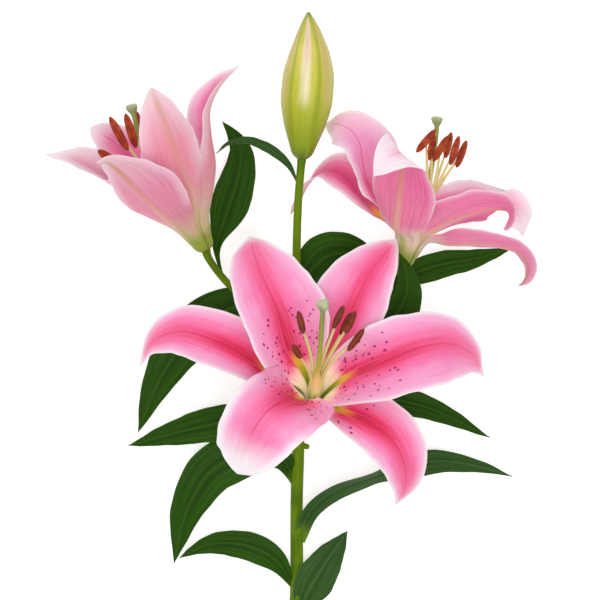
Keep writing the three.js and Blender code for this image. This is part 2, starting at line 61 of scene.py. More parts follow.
# Each kind of blade. Outline: half-width at the root as a share of the widest, place of the
# widest, and how fast it rises and falls. Cup: half the arc across, in degrees, by place.
OUTLINE = {
    "petal": {"claw": 0.15, "widest": 0.52, "rise": 0.75, "shoulder": 2.2, "point": 0.9},
    "sepal": {"claw": 0.22, "widest": 0.5, "rise": 1.0, "shoulder": 2.0, "point": 0.95},
    "leaf": {"claw": 0.16, "widest": 0.42, "rise": 0.8, "shoulder": 1.8, "point": 1.0},
}
CUP = {
    "petal": [[0, 48], [0.12, 58], [0.25, 44], [0.42, 26], [0.75, 12], [1, 6]],
    "sepal": [[0, 38], [0.12, 40], [0.4, 24], [0.75, 14], [1, 8]],
    "leaf": [[0, 50], [0.2, 26], [0.6, 12], [1, 8]],
}
WAVE = {
    "petal": {"ripple": 1.1, "waves": 2.6},
    "sepal": {"ripple": 0.6, "waves": 2.2},
    "leaf": {"ripple": 0.7, "waves": 2.2},
}
LEVEL = {"roll": [[0, 0]], "lean": [[0, 0]]}
# Root of a tepal: distance from the bloom's axis and height above its foot, twice.
THROAT = {"petal": [[4.1, 0.5], [7.8, 15]], "sepal": [[5.6, 0.5], [10.1, 14]]}
# Most half-width and least cup at a distance from the root, so that neighbours stay apart.
ROOM = {
    "petal": {
        "half": [[0, 3.8], [15, 7.3], [25, 10.5], [36, 16], [46, 24], [56, 60]],
        "cup": [[0, 48], [10, 58], [30, 52], [55, 1]],
    },
    "sepal": {
        "half": [[0, 4.5], [14, 8], [25, 11], [36, 16], [46, 24], [56, 60]],
        "cup": [[0, 38], [12, 42], [30, 40], [55, 1]],
    },
    "leaf": {"half": [[0, 60]], "cup": [[0, 1]]},
}
STAMEN_RING = {"inner": 2.0, "outer": 3.1, "low": 0.3}

STEM = {
    "path": [[-3, -222, 3.9], [-3, -200, 3.9], [-2, -176, 6.5], [-2, -122, 13], [-1, -91, 18],
        [-1, -60, 22], [-1, -24, 26], [-2, 0, 28], [-2, 30, 30], [-1, 60, 31.5], [1, 84, 33]],
    "radius": [[0, 4.2], [0.3, 3.8], [0.6, 3.4], [0.72, 2.6], [0.96, 2.4], [1, 3.2]],
}
STUB = {
    "path": [[-1, -88, 18.5], [3, -88.5, 19.5], [5.5, -89, 20]],
    "radius": [[0, 1.9], [0.8, 1.7], [1, 1.2]],
}
PEDICELS = {
    "front": [[-1, -84, 19], [2, -79, 26], [6, -70, 36]],
    "left": [[-2, -21, 26], [-23, -7, 30], [-44, 11, 36], [-55, 26, 38.5]],
    "right": [[-1, -21, 26], [21, -9, 30], [43, 5, 34], [57, 17, 38]],
}
PEDICEL_RADIUS = {"root": 2.8, "neck": 2.2}
BUD = {
    "path": [[1, 84.5, 33.1], [3, 110, 36.5], [5.5, 145, 40], [5, 171, 42]],
    "radius": [[0, 3.2], [0.03, 6], [0.08, 7.8], [0.25, 12.6], [0.42, 15.2], [0.55, 15], [0.7, 12.4],
        [0.84, 8], [0.94, 4], [1, 0.8]],
}


def shaped(width, path, **rest):
    """What a petal, sepal or leaf has of its own."""
    return {"width": width, "path": path, **rest}


FRONT_TEPALS = {
    "right": shaped(51, [[28, -43.5, 84], [48, -34.5, 95], [68, -26.5, 95], [86, -25, 88],
        [99, -31, 79], [107, -44, 71]], lean=[[0, 0], [0.3, -0.08], [0.6, -0.12], [1, -0.2]]),
    "upper_right": shaped(46, [[22, -23, 66], [31, -3, 69], [41, 16, 66], [51, 29, 60], [57, 36, 54]],
        lean=[[0, 0], [0.4, 0.12], [0.7, 0.1], [1, 0]]),
    "upper_left": shaped(51, [[-5, -29, 76], [-12, -7, 84], [-21, 13, 82], [-27, 28, 72],
        [-29, 37, 61]], lean=[[0, 0], [0.45, -0.08], [0.75, -0.05], [1, 0]]),
    "left": shaped(38, [[-17, -43, 66], [-33, -31, 78], [-52, -22, 81], [-70, -18, 76], [-85, -24, 69],
        [-93.5, -39, 61]]),
    "lower_left": shaped(48, [[-2, -56, 84], [-9.5, -57, 99], [-18.5, -62.5, 108], [-25.5, -72, 108],
        [-31, -85, 101], [-35, -99.5, 87]],
        outline={"widest": 0.44, "rise": 0.5, "shoulder": 3, "point": 0.65}, cup=[[0, 48], [0.12, 58],
        [0.3, 22], [1, 6]], room={"half": [[0, 3.8], [15, 6.5], [23, 7.5], [30, 12.2], [38, 25],
        [50, 60]]}, lean=[[0, 0], [0.2, -0.05], [0.3, 0.05], [0.6, 0.12], [0.8, 0.08], [1, 0]],
        roll=[[0, 0], [0.14, 12], [0.35, -10], [0.6, -14], [1, 0]]),
    "lower_right": shaped(36, [[27, -65, 76], [43, -72, 83], [53, -80, 84], [60, -94, 80],
        [61, -107, 73], [56, -120, 63]]),
}
LEFT_TEPALS = {
    "right": shaped(37, [[-54, 57, 42], [-51, 80, 43], [-53.5, 98, 45], [-54, 113, 46], [-49, 125, 45],
        [-43, 133, 43], [-36, 139, 41]], lean=[[0, 0], [0.1, 0], [0.25, -0.22], [0.4, -0.22],
        [0.6, 0.22], [0.8, 0.2], [1, 0]], cup=[[0, 38], [0.12, 42], [0.3, 52], [0.7, 60], [1, 30]],
        roll=[[0, 0], [0.12, -6], [0.3, -4], [0.5, 10], [0.65, 15], [1, 15]]),
    "far_right": shaped(26, [[-65, 63, 38], [-73.5, 81, 29], [-78, 97, 14], [-79, 109, 4],
        [-83, 118, -0.7], [-86, 125, -1.5]], lean=[[0, 0], [0.35, 0.15], [0.7, 0], [1, 0]],
        roll=[[0, 0], [0.4, 18], [1, 8]]),
    "far_left": shaped(35, [[-76, 59, 26], [-97, 79, 17], [-112, 95, 15], [-127, 104, 18]],
        outline={"shoulder": 3, "point": 0.65}, roll=[[0, 0], [0.5, 14], [1, 12]]),
    "left": shaped(49, [[-80, 49, 46], [-100, 62, 52], [-118, 75, 57], [-134, 83, 58], [-148, 86, 54]],
        outline={"shoulder": 3.4, "point": 0.65}, cup=[[0, 48], [0.12, 58], [0.3, 46], [0.6, 30],
        [1, 8]]),
    "near_left": shaped(45, [[-80, 49.5, 75], [-94, 64.5, 97], [-103, 74, 111], [-108, 77, 117],
        [-113, 76, 117]], outline={"widest": 0.55, "shoulder": 2.8}, room={"half": [[0, 4.5], [14, 8.5],
        [25, 12.5], [36, 17], [46, 24], [56, 60]]}, lean=[[0, 0], [0.3, -0.05], [0.5, 0.05],
        [0.7, 0.28], [0.85, 0.35], [1, 0.2]]),
    "near_right": shaped(40, [[-62.5, 60, 63], [-70, 79, 82], [-77.5, 101, 97], [-84, 120, 100]],
        outline={"point": 0.8}, lean=[[0, 0], [0.3, -0.22], [0.5, -0.18], [0.7, -0.08], [1, -0.08]]),
}
RIGHT_TEPALS = {
    "right": shaped(32, [[88, 33, 47], [104, 33.5, 52], [120, 32, 54], [130, 28, 53], [135, 19, 51],
        [133, 11, 49], [128, 8, 48]], roll=[[0, 0], [0.12, 0], [0.35, -34], [0.6, -30], [1, -10]]),
    "far_right": shaped(35, [[76, 50, 36], [88, 58, 28], [103, 63, 16], [118, 66, 5], [127, 66, -0.5],
        [133, 65, -1.5]]),
    "far_left": shaped(25, [[48, 50, 31], [41, 58, 28], [33.5, 67.5, 26], [26, 75.5, 24],
        [16.5, 78.5, 21], [8, 74.5, 17], [2, 66, 13], [-2, 59, 10], [-6, 52, 8]],
        outline={"shoulder": 3.2, "point": 0.7}, lean=[[0, -0.1], [0.2, -0.5], [0.4, -0.4], [0.6, -0.1],
        [1, 0]], roll=[[0, 0], [0.25, -15], [0.45, -42], [0.75, -50], [1, -30]]),
    "left": shaped(44, [[47.5, 57, 42], [40, 71, 40], [37.5, 83, 38], [36, 93, 37], [31, 101, 34],
        [23, 105.5, 29], [15, 106.5, 22]], lean=[[0, 0], [0.2, 0], [0.5, -0.56], [0.65, -0.3], [0.8, 0],
        [1, 0]], roll=[[0, 0], [0.15, 0], [0.3, -20], [0.5, -48], [0.7, -52], [1, -40]]),
    "near_left": shaped(43, [[56.5, 41, 62], [57, 57, 82], [58, 72, 98], [57.5, 82, 108],
        [50.5, 80, 117], [41, 69, 114]], lean=[[0, 0], [0.3, -0.04], [0.6, 0], [1, 0]],
        room={"half": [[0, 4.5], [14, 8.2], [25, 12.5], [36, 17], [46, 24], [56, 60]]}, roll=[[0, 0],
        [0.5, 0], [0.8, -20], [1, -20]]),
    "near_right": shaped(46, [[75, 39, 58], [87, 46, 68], [98, 50, 74], [110, 53, 76], [119, 53, 74],
        [126, 50, 69], [130, 44, 62], [131, 37, 56]], outline={"widest": 0.38, "shoulder": 1.5}),
}
BLOOMS = {
    "front": {
        "foot": [8, -60, 44], "axis": [0.05, 0.45, 0.89], "first": "petal", "tepals": FRONT_TEPALS,
        "pistil": [[9, -49, 68], [11, -33, 94], [12, -16, 114], [13, -1, 129]],
        "stamens": [
            [[15.5, -39, 83], [27, -29, 98], [36, -16, 110]],
            [[14.5, -36.5, 84], [25.5, -19, 106], [31, -6, 116]],
            [[12.7, -34, 88], [18.5, -16, 110], [24.5, -3, 118]],
            [[7.3, -37, 86], [2, -19, 108], [-1, -6, 117]],
            [[5.5, -42, 84], [0.5, -33, 100], [-4, -25, 112]],
            [[14.5, -38.5, 79.5], [23, -20, 94], [29, -7, 102]],
        ],
    },
    "left": {
        "foot": [-58, 34, 40], "axis": [-0.4465, 0.8397, 0.309], "first": "sepal",
        "tepals": LEFT_TEPALS,
        "pistil": [[-70, 57, 51], [-84, 76, 57], [-93, 92, 60], [-98.3, 114.5, 62]],
        "stamens": [
            [[-70.5, 66, 52], [-93.8, 91, 52], [-96, 111, 53]],
            [[-76, 66, 44], [-91, 89, 46], [-89, 107, 40]],
            [[-78, 62, 48], [-97, 78, 48], [-105, 84, 62]],
            [[-82, 61, 58], [-106, 79, 69], [-116, 86, 82]],
            [[-79.5, 61.5, 64], [-99, 86, 78], [-109, 105, 86]],
            [[-77, 64.5, 61.5], [-95, 88, 70], [-101, 108, 74]],
        ],
    },
    "right": {
        "foot": [62, 25, 40], "axis": [0.2985, 0.9186, 0.2588], "first": "sepal",
        "tepals": RIGHT_TEPALS,
        "pistil": [[70, 46, 47], [75, 64, 53], [78.5, 86, 56], [81, 107.5, 58.5]],
        "stamens": [
            [[79.8, 65, 56], [87, 78, 72], [92, 95, 74]],
            [[80.5, 64.5, 53], [91, 77, 66], [97, 93, 66]],
            [[78.5, 66, 49], [86, 84, 46], [90, 100, 40]],
            [[73.5, 64, 58], [67, 85, 78], [78, 98, 84]],
            [[75.8, 64.5, 58.5], [75, 81, 68], [78, 96, 70]],
            [[78, 65, 58.5], [77, 80, 74], [85.5, 95, 76]],
        ],
    },
}
LEAVES = {
    "upper_left": shaped(31, [[-2, -7, 27], [-12, -2, 23], [-24, -1, 20], [-44, -6, 19], [-67, -22, 18],
        [-85, -47, 13], [-99, -81, 8]]),
    "middle_left": shaped(22, [[-1, -77, 20], [-24, -72, 25], [-47, -74, 22], [-73, -80, 14],
        [-105, -89, 7]]),
    "lower_left": shaped(30, [[-2, -113, 14], [-12, -95, 20], [-30, -93, 18], [-53, -103, 16],
        [-69, -128, 12], [-77, -161, 6]]),
    "bottom_left": shaped(18, [[-3, -177, 7], [-15, -158, 14], [-33, -149, 15], [-55, -149, 10],
        [-74, -158, 4]]),
    "bottom_right": shaped(24, [[-2, -194, 5], [5, -178, 10], [15, -161, 12], [29, -141, 9]]),
    "lower_right": shaped(19, [[-1, -146, 10], [6, -128, 17], [20, -116, 21], [41, -108, 21],
        [64, -101, 19], [85, -98, 15], [107, -101, 11], [130, -108, 6]], outline={"claw": 0.5},
        roll=[[0, 0], [0.15, 35], [0.42, 60], [0.62, 10], [1, 0]]),
    "middle_right": shaped(18, [[-1, -78, 20], [24, -63, 24], [51, -60, 21], [79, -66, 15],
        [116, -84, 7]]),
    "upper_right": shaped(17, [[42, 4, 34], [61, 13, 30], [84, 21, 23], [106, 25, 17], [130, 32, 10]]),
    "inner_right": shaped(31, [[-1, -45, 24], [27, -33, 28], [52, -15, 37], [63, 2, 45], [62.5, 17, 49],
        [58.5, 28, 50]]),
    "top_right": shaped(29, [[-2, 0, 28], [7, 18, 24], [19, 27.5, 20], [35, 26.5, 16], [49, 13, 12]]),
    "top_left": shaped(24, [[-46, 12, 36], [-50, 32, 28], [-44, 53, 22], [-37, 76, 18], [-36, 91, 17],
        [-40, 99, 18], [-47, 108, 20]], outline={"claw": 0.08, "widest": 0.48, "rise": 2}),
    "bud_bract": shaped(6, [[-1, 69, 32], [-7, 81, 34], [-18, 90, 37], [-30, 95, 37], [-42, 94, 34],
        [-50, 88, 31]]),
}

# ---------------------------------------------------------------- curves and knots


def eased(knots, at):
    """Value of [place, value] knots: a smooth curve that never overshoots."""
    places, values = np.array(knots, float).T
    at = np.clip(at, places[0], places[-1])
    if len(places) == 1:
        return np.full(np.shape(at), values[0])
    slope = np.diff(values) / np.diff(places)
    before = np.concatenate([slope[:1], slope])
    after = np.concatenate([slope, slope[-1:]])
    steady = before * after > 0
    lean = np.where(steady, 2 * before * after / np.where(steady, before + after, 1), 0)
    i = np.clip(np.searchsorted(places, at, side="right") - 1, 0, len(slope) - 1)
    span = places[i + 1] - places[i]
    t = (at - places[i]) / span
    rise = values[i] + (values[i + 1] - values[i]) * t * t * (3 - 2 * t)
    return rise + span * t * (1 - t) * (lean[i] * (1 - t) - lean[i + 1] * t)


def smoothstep(x, low, high):
    t = np.clip((np.asarray(x, float) - low) / (high - low), 0, 1)
    return t * t * (3 - 2 * t)


def unit(v):
    return v / np.linalg.norm(v, axis=-1, keepdims=True)


def dot(a, b):
    return np.sum(a * b, axis=-1, keepdims=True)


def turned(v, axis, angle):
    """Each v turned about its axis by its angle in radians."""
    c, s = np.cos(angle)[..., None], np.sin(angle)[..., None]
    return v * c + np.cross(axis, v) * s + axis * dot(axis, v) * (1 - c)


class Rib:
    """Centripetal curve through a path's points, read by the share of its length."""

    SAMPLES = 400

    def __init__(self, path, soften=0):
        points = np.array(path, float)
        knots = np.vstack([2 * points[0] - points[1], points, 2 * points[-1] - points[-2]])
        t = np.linspace(0, len(points) - 1, self.SAMPLES + 1)
        i = np.minimum(t.astype(int), len(points) - 2)
        w = (t - i)[:, None]
        p0, p1, p2, p3 = (knots[i + k] for k in range(4))
        d0, d1, d2 = (
            np.sqrt(np.linalg.norm(b - a, axis=1))[:, None] for a, b in ((p0, p1), (p1, p2), (p2, p3))
        )
        m1 = ((p1 - p0) / d0 - (p2 - p0) / (d0 + d1) + (p2 - p1) / d1) * d1
        m2 = ((p2 - p1) / d1 - (p3 - p1) / (d1 + d2) + (p3 - p2) / d2) * d1
        bend = -3 * p1 + 3 * p2 - 2 * m1 - m2
        self.points = p1 + m1 * w + bend * w**2 + (2 * p1 - 2 * p2 + m1 + m2) * w**3
        self._measure()
        if soften:
            even = np.linspace(0, 1, self.SAMPLES + 1)
            self.points = self.at(even)
            for _ in range(soften):
                middle = self.points[1:-1]
                self.points[1:-1] = (self.points[:-2] + 2 * middle + self.points[2:]) / 4
            self._measure()

    def _measure(self):
        steps = np.linalg.norm(np.diff(self.points, axis=0), axis=1)
        run = np.concatenate([[0], np.cumsum(steps)])
        self.length = run[-1]
        self.share = run / self.length
        self.tangents = unit(np.gradient(self.points, axis=0))

    def _read(self, values, s):
        return np.stack([np.interp(s, self.share, column) for column in values.T], axis=-1)

    def at(self, s):
        return self._read(self.points, s)

    def tangent(self, s):
        return unit(self._read(self.tangents, s))


# ---------------------------------------------------------------- meshes


class Mesh:
    """Points, faces and per-point values of one piece, gathered part by part."""

    def __init__(self):
        self.points = []
        self.faces = []
        self.slots = []
        self.values = {}
        self.count = 0

    def add(self, points, faces, slot=0, **values):
        """Adds one part. slot is one number, or one for each face."""
        points = np.reshape(points, (-1, 3))
        self.faces += [tuple(int(k) + self.count for k in face) for face in faces]
        self.slots += [slot] * len(faces) if np.ndim(slot) == 0 else list(slot)
        for name in sorted({*self.values, *values}):
            self.values.setdefault(name, [np.zeros(self.count)])
            value = np.broadcast_to(values.get(name, 0.0), (len(points),))
            self.values[name].append(value)
        self.points.append(points)
        self.count += len(points)

    def piece(self, name, node, materials):
        """The Blender object, in metres in the row frame, standing for its CAD node."""
        points = (np.vstack(self.points) + SHIFT) * MM
        data = bpy.data.meshes.new(name)
        data.from_pydata(points.tolist(), [], self.faces)
        for key, parts in self.values.items():
            layer = data.attributes.new(key, "FLOAT", "POINT")
            layer.data.foreach_set("value", np.concatenate(parts).astype(np.float32))
        for material in materials:
            data.materials.append(material)
        data.polygons.foreach_set("material_index", self.slots)
        data.polygons.foreach_set("use_smooth", [True] * len(self.faces))
        data.update()
        made = bpy.data.objects.new(name, data)
        bpy.context.scene.collection.objects.link(made)
        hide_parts(node)
        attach(made, "root")


def grid_faces(rows, cols, start=0, flip=False, closed=False):
    """Quads of a grid of points, rows by columns, which may close on itself across."""
    faces = []
    for i in range(rows - 1):
        for j in range(cols if closed else cols - 1):
            k = (j + 1) % cols
            a, b = start + i * cols + j, start + i * cols + k
            quad = (a, a + cols, b + cols, b)
            faces.append(quad[::-1] if flip else quad)
    return faces


# ---------------------------------------------------------------- round parts


def ring_frame(rib, s):
    """Two directions across the rib at each s, carried along it without twist."""
    along = rib.tangent(s)
    side = np.cross(UP, along[0])
    sides = []
    for direction in along:
        side = unit(side - dot(side, direction) * direction)
        sides.append(side)
    sides = np.array(sides)
    return sides, np.cross(along, sides)


def sweep(mesh, path, radius, sides, steps, section=None, slot=0, soften=0):
    """Adds a closed round part along a path. section(s, angle) scales its radius."""
    rib = Rib(path, soften)
    s = np.linspace(0, 1, steps + 1)
    across, over = ring_frame(rib, s)
    angle = 2 * np.pi * (np.arange(sides) + 0.5) / sides
    ss, aa = np.meshgrid(s, angle, indexing="ij")
    r = eased(radius, ss)
    if section:
        r = r * section(ss, aa)
    around = across[:, None] * np.cos(aa)[..., None] + over[:, None] * np.sin(aa)[..., None]
    points = rib.at(s)[:, None] + around * r[..., None]
    faces = [face[::-1] for face in grid_faces(steps + 1, sides, closed=True)]
    last = steps * sides
    start, end = (steps + 1) * sides, (steps + 1) * sides + 1
    for k in range(sides):
        after = (k + 1) % sides
        faces.append((start, after, k))
        faces.append((end, last + k, last + after))
    points = np.vstack([points.reshape(-1, 3), rib.at(np.array([0.0, 1.0]))])
    points[:, 2] = np.maximum(points[:, 2], 0)
    mesh.add(points, faces, slot, along=np.append(ss, [0, 1]), angle=np.append(aa, [0, 0]))
    return points


def ribbed(count, depth):
    return lambda s, a: 1 + depth * np.cos(count * a)


PLAIN_BUD = {"sides": 15, "steps": 14, "lobe": 0.05}


def plant_shift():
    """Place of the plant's frame in the row frame, from the bud built as its CAD node is."""
    section = ribbed(3, PLAIN_BUD["lobe"])
    solid = sweep(Mesh(), BUD["path"], BUD["radius"], PLAIN_BUD["sides"], PLAIN_BUD["steps"], section)
    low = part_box("bud")[0] / MM
    return np.array([low.x, low.y, 0]) - np.array([*solid.min(axis=0)[:2], 0])


SHIFT = plant_shift()

# ---------------------------------------------------------------- blades

FINE = {"petal": (76, 40), "sepal": (76, 36), "leaf": (84, 28)}  # rows along, columns across
TIP_CROWDING = 1.3
TIP_HALF_WIDTH = 0.3
SOFTEN = 60  # rounds of smoothing of a rib's path


def outline_at(outline, s):
    """Half-width at s as a share of the widest."""
    rising = smoothstep(s, 0, outline["widest"]) ** outline["rise"]
    out = np.clip((s - outline["widest"]) / (1 - outline["widest"]), 0, 1)
    falling = (1 - out ** outline["shoulder"]) ** outline["point"]
    return np.where(s < outline["widest"], outline["claw"] + (1 - outline["claw"]) * rising, falling)


def spaced(count):
    """Places from -1 to 1, closer together at the middle and at both ends."""
    t = np.linspace(-1, 1, count + 1)
    return np.sign(t) * (0.35 * np.abs(t) + 0.65 * t * t * (3 - 2 * np.abs(t)))


class Blade:
    """Middle surface of a petal, sepal or leaf on a fine grid, with its two faces."""

    def __init__(self, kind, shape):
        rows, cols = FINE[kind]
        self.shape = {"cup": CUP[kind], **LEVEL, **WAVE[kind], **FACE[kind], **shape}
        self.shape["outline"] = {**OUTLINE[kind], **shape.get("outline", {})}
        self.shape["room"] = {**ROOM[kind], **shape.get("room", {})}
        self.s = 1 - (1 - np.linspace(0, 1, rows + 1)) ** TIP_CROWDING
        self.u = spaced(cols)
        self.rows, self.cols = rows + 1, cols + 1
        self._middle()
        self._faces()

    def _middle(self):
        shape, s, u = self.shape, self.s, self.u[None, :]
        rib = Rib(shape["path"], SOFTEN)
        along = rib.tangent(s)
        side = np.broadcast_to(shape["across"], along.shape) if "across" in shape else np.cross(UP, along)
        side = unit(side - dot(side, along) * along)
        side = turned(side, along, np.radians(eased(shape["roll"], s)))
        face = np.cross(along, side)
        far = s * rib.length
        wanted = shape["width"] / 2 * outline_at(shape["outline"], s)
        half = np.maximum(np.minimum(wanted, eased(shape["room"]["half"], far)), TIP_HALF_WIDTH)
        cup = np.radians(np.maximum(eased(shape["cup"], s), eased(shape["room"]["cup"], far)))
        lean = eased(shape["lean"], s)[:, None]
        half = half * (1 + shape["spread"] * (1 - smoothstep(s, 0.05, 0.5)))
        half, cup = half[:, None] * (1 + lean * np.sign(u)), cup[:, None]
        half = half + shape["fray"] * self._fray(s[:, None], np.where(u < 0, SIDE_SHIFT["fray"], 0))
        out = half / cup * np.sin(u * cup)
        lift = half / cup * (1 - np.cos(u * cup))
        phase = shape["waves"] * s[:, None] + shape["phase"] + np.where(u < 0, SIDE_SHIFT["wave"], 0)
        wave = np.sin(2 * np.pi * phase) * np.abs(u) ** 3 * smoothstep(s, 0.2, 0.5)[:, None]
        lift = lift + shape["ripple"] * wave + self._relief(s[:, None], u, half)
        self.grid = rib.at(s)[:, None] + side[:, None] * out[..., None] + face[:, None] * lift[..., None]
        self.off_rib = np.abs(u) * half
        self.margin = np.minimum(half - self.off_rib, (1 - s[:, None]) * rib.length)
        self.taper = np.ones((self.rows, 1))
        if "foot" in shape:
            self._add_heel(shape["foot"], shape["axis"])

    def _add_heel(self, foot, axis):
        """Rows below the root that close in on the pedicel and round off the base."""
        turn = np.linspace(np.pi / 2, 0, HEEL["steps"], endpoint=False)[:, None]
        share = HEEL["close"] + (1 - HEEL["close"]) * np.cos(turn)
        rise = dot(self.grid[0] - foot, axis) * axis
        off_axis = self.grid[0] - foot - rise
        drop = axis * (HEEL["depth"] * np.sin(turn))[..., None]
        self.grid = np.concatenate([foot + rise + off_axis * share[..., None] - drop, self.grid])
        self.s = np.append(np.zeros(HEEL["steps"]), self.s)
        self.off_rib = np.concatenate([self.off_rib[0] * share, self.off_rib])
        self.margin = np.concatenate([self.margin[0] * share, self.margin])
        thinning = HEEL["thin"] + (1 - HEEL["thin"]) * np.cos(turn)
        self.taper = np.concatenate([thinning, self.taper])
        self.rows += HEEL["steps"]

    def _fray(self, s, offset):
        """Slight ins and outs of the outline, different on its two sides."""
        phase = 2 * np.pi * (self.shape["phase"] + offset)
        swing = np.sin(2 * np.pi * 4.3 * s + phase) + 0.6 * np.sin(2 * np.pi * 9.1 * s + 2.3 * phase)
        return swing * smoothstep(s, 0.3, 0.55) * (1 - smoothstep(s, 0.92, 1))

    def _relief(self, s, u, half):
        """Groove over the rib, soft pleats beside it and a finely crimped margin."""
        shape = self.shape
        groove = np.exp(-((u * half / shape["groove_width"]) ** 2))
        fade = smoothstep(s, 0, 0.1) * (1 - smoothstep(s, 0.7, 1))
        pleat = np.cos(np.pi * shape["pleats"] * u) * np.exp(-((u / 0.75) ** 4))
        shift = np.where(u < 0, SIDE_SHIFT["crimp"], 0)
        sway = 2 * np.pi * (shape["crimps"] * s + shape["phase"] + shift)
        crimp = (np.sin(sway) + 0.6 * np.sin(1.7 * sway + 1.3)) * np.abs(u) ** 7
        crimp = crimp * smoothstep(s, 0.25, 0.5) * (1 - smoothstep(s, 0.9, 1))
        return (
            -shape["groove"] * groove * fade
            + shape["pleat"] * pleat * fade * smoothstep(half, 3, 12)
            + shape["crimp"] * crimp
        )

    def _faces(self):
        shape, s = self.shape, self.s[:, None]
        normal = unit(np.cross(np.gradient(self.grid, axis=0), np.gradient(self.grid, axis=1)))
        edge = smoothstep(self.margin, 0, shape["bevel"]) ** 0.5
        thick = EDGE_THICKNESS + (shape["thick"] - EDGE_THICKNESS) * edge
        thick = thick * (1 + shape["fleshy"] * (1 - smoothstep(s, 0, 0.3))) * self.taper
        keel = shape["keel"] * np.exp(-((self.off_rib / shape["keel_width"]) ** 2))
        keel = keel * (1 - smoothstep(s, 0.75, 1))
        self.top = self.grid + normal * (thick / 2)[..., None]
        self.bottom = self.grid - normal * (thick / 2 + keel * edge)[..., None]
        self.normal = normal
        for surface in (self.top, self.bottom):
            surface[..., 2] = np.maximum(surface[..., 2], 0)
        for surface, other in ((self.top, self.bottom), (self.bottom, self.top)):
            on_floor = other[..., 2] <= 0
            surface[..., 2][on_floor] = np.maximum(surface[..., 2][on_floor], EDGE_THICKNESS / 2)

    def values(self):
        across = np.broadcast_to(self.u, self.off_rib.shape)
        along = np.broadcast_to(self.s[:, None], self.off_rib.shape)
        return {
            "along": along.ravel(), "across": across.ravel(),
            "off_rib": self.off_rib.ravel(), "margin": self.margin.ravel(),
        }

    def add_to(self, mesh):
        """Adds the closed sheet: its inner face in slot 0, the rest in slot 1."""
        rows, cols = self.rows, self.cols
        back = rows * cols
        faces = grid_faces(rows, cols) + grid_faces(rows, cols, back, flip=True)
        slots = [0] * ((rows - 1) * (cols - 1)) + [1] * ((rows - 1) * (cols - 1))
        rim = [i * cols for i in range(rows)]
        rim += [(rows - 1) * cols + j for j in range(1, cols)]
        rim += [i * cols + cols - 1 for i in range(rows - 2, -1, -1)]
        rim += range(cols - 2, 0, -1)
        for p, q in zip(rim, rim[1:] + rim[:1]):
            faces.append((q, p, p + back, q + back))
            slots.append(1)
        values = {key: np.tile(value, 2) for key, value in self.values().items()}
        points = np.vstack([self.top.reshape(-1, 3), self.bottom.reshape(-1, 3)])
        mesh.add(points, faces, slots, **values)

    def spot(self, s, u):
        """Point, direction along the rib and normal of the inner face."""
        i = np.interp(s, self.s, np.arange(self.rows))
        j = np.interp(u, self.u, np.arange(self.cols))
        i0, j0 = min(int(i), self.rows - 2), min(int(j), self.cols - 2)
        a, b = i - i0, j - j0
        corners = self.top[i0:i0 + 2, j0:j0 + 2]
        point = (
            corners[0, 0] * (1 - a) * (1 - b) + corners[0, 1] * (1 - a) * b
            + corners[1, 0] * a * (1 - b) + corners[1, 1] * a * b
        )
        return point, unit(corners[1, 0] - corners[0, 0]), self.normal[i0, j0]


# Sheet and relief of each kind of blade, in millimetres: the groove over the rib, pleats
# beside it, the crimped and frayed margin, the keel under the rib, and the root's spread.
EDGE_THICKNESS = 0.12
SIDE_SHIFT = {"fray": 0.43, "wave": 0.37, "crimp": 0.61}  # sets a blade's left side apart
HEEL = {"steps": 7, "depth": 5.0, "close": 0.36, "thin": 0.35}
FACE = {
    "petal": {
        "groove": 1.0, "groove_width": 1.7, "pleats": 5, "pleat": 0.22, "crimps": 9, "crimp": 0.35,
        "thick": 0.75, "bevel": 5, "fleshy": 0.6, "keel": 0.5, "keel_width": 2.2, "spread": 0.1,
        "fray": 0.35,
    },
    "sepal": {
        "groove": 0.6, "groove_width": 1.5, "pleats": 4, "pleat": 0.18, "crimps": 7, "crimp": 0.15,
        "thick": 0.7, "bevel": 4, "fleshy": 0.6, "keel": 0.4, "keel_width": 2.4, "spread": 0.3,
        "fray": 0.25,
    },
    "leaf": {
        "groove": 0.5, "groove_width": 1.2, "pleats": 7, "pleat": 0.16, "crimps": 3, "crimp": 0.1,
        "thick": 0.5, "bevel": 2, "fleshy": 1.8, "keel": 0.4, "keel_width": 1.0, "spread": 0,
        "fray": 0.15,
    },
}

# ---------------------------------------------------------------- spots on the petals

SPOT_SIDES = 8
SPOT_LEVELS = ((1.0, -0.2), (0.92, 0.08), (0.55, 0.3))  # share of the size, height in mm
SPOT_BASE, SPOT_TOP = 0.2, 0.42  # depth of the base and height of the tip, in mm
SPOT_LENGTH = 1.3  # times its width
SPOT_SWELL = 1.6  # how soon a spot has its full height as its size grows


def spot_places(count, seed, reach, spread):
    """Places (s, u) of a petal's spots: even but irregular, thinner away from the throat."""
    rng = np.random.default_rng(seed)
    golden = np.array([0.7549, 0.5698])
    places = []
    for k in range(count):
        a, b = (golden * (k + 1) + 0.12 * rng.standard_normal(2)) % 1
        s = reach[0] + (reach[1] - reach[0]) * a**1.15
        u = (spread[0] + (spread[1] - spread[0]) * b) * (1 if k % 2 else -1)
        places.append((s, u, 0.36 + 0.42 * rng.random() ** 2 + 0.12 * a))
    return places


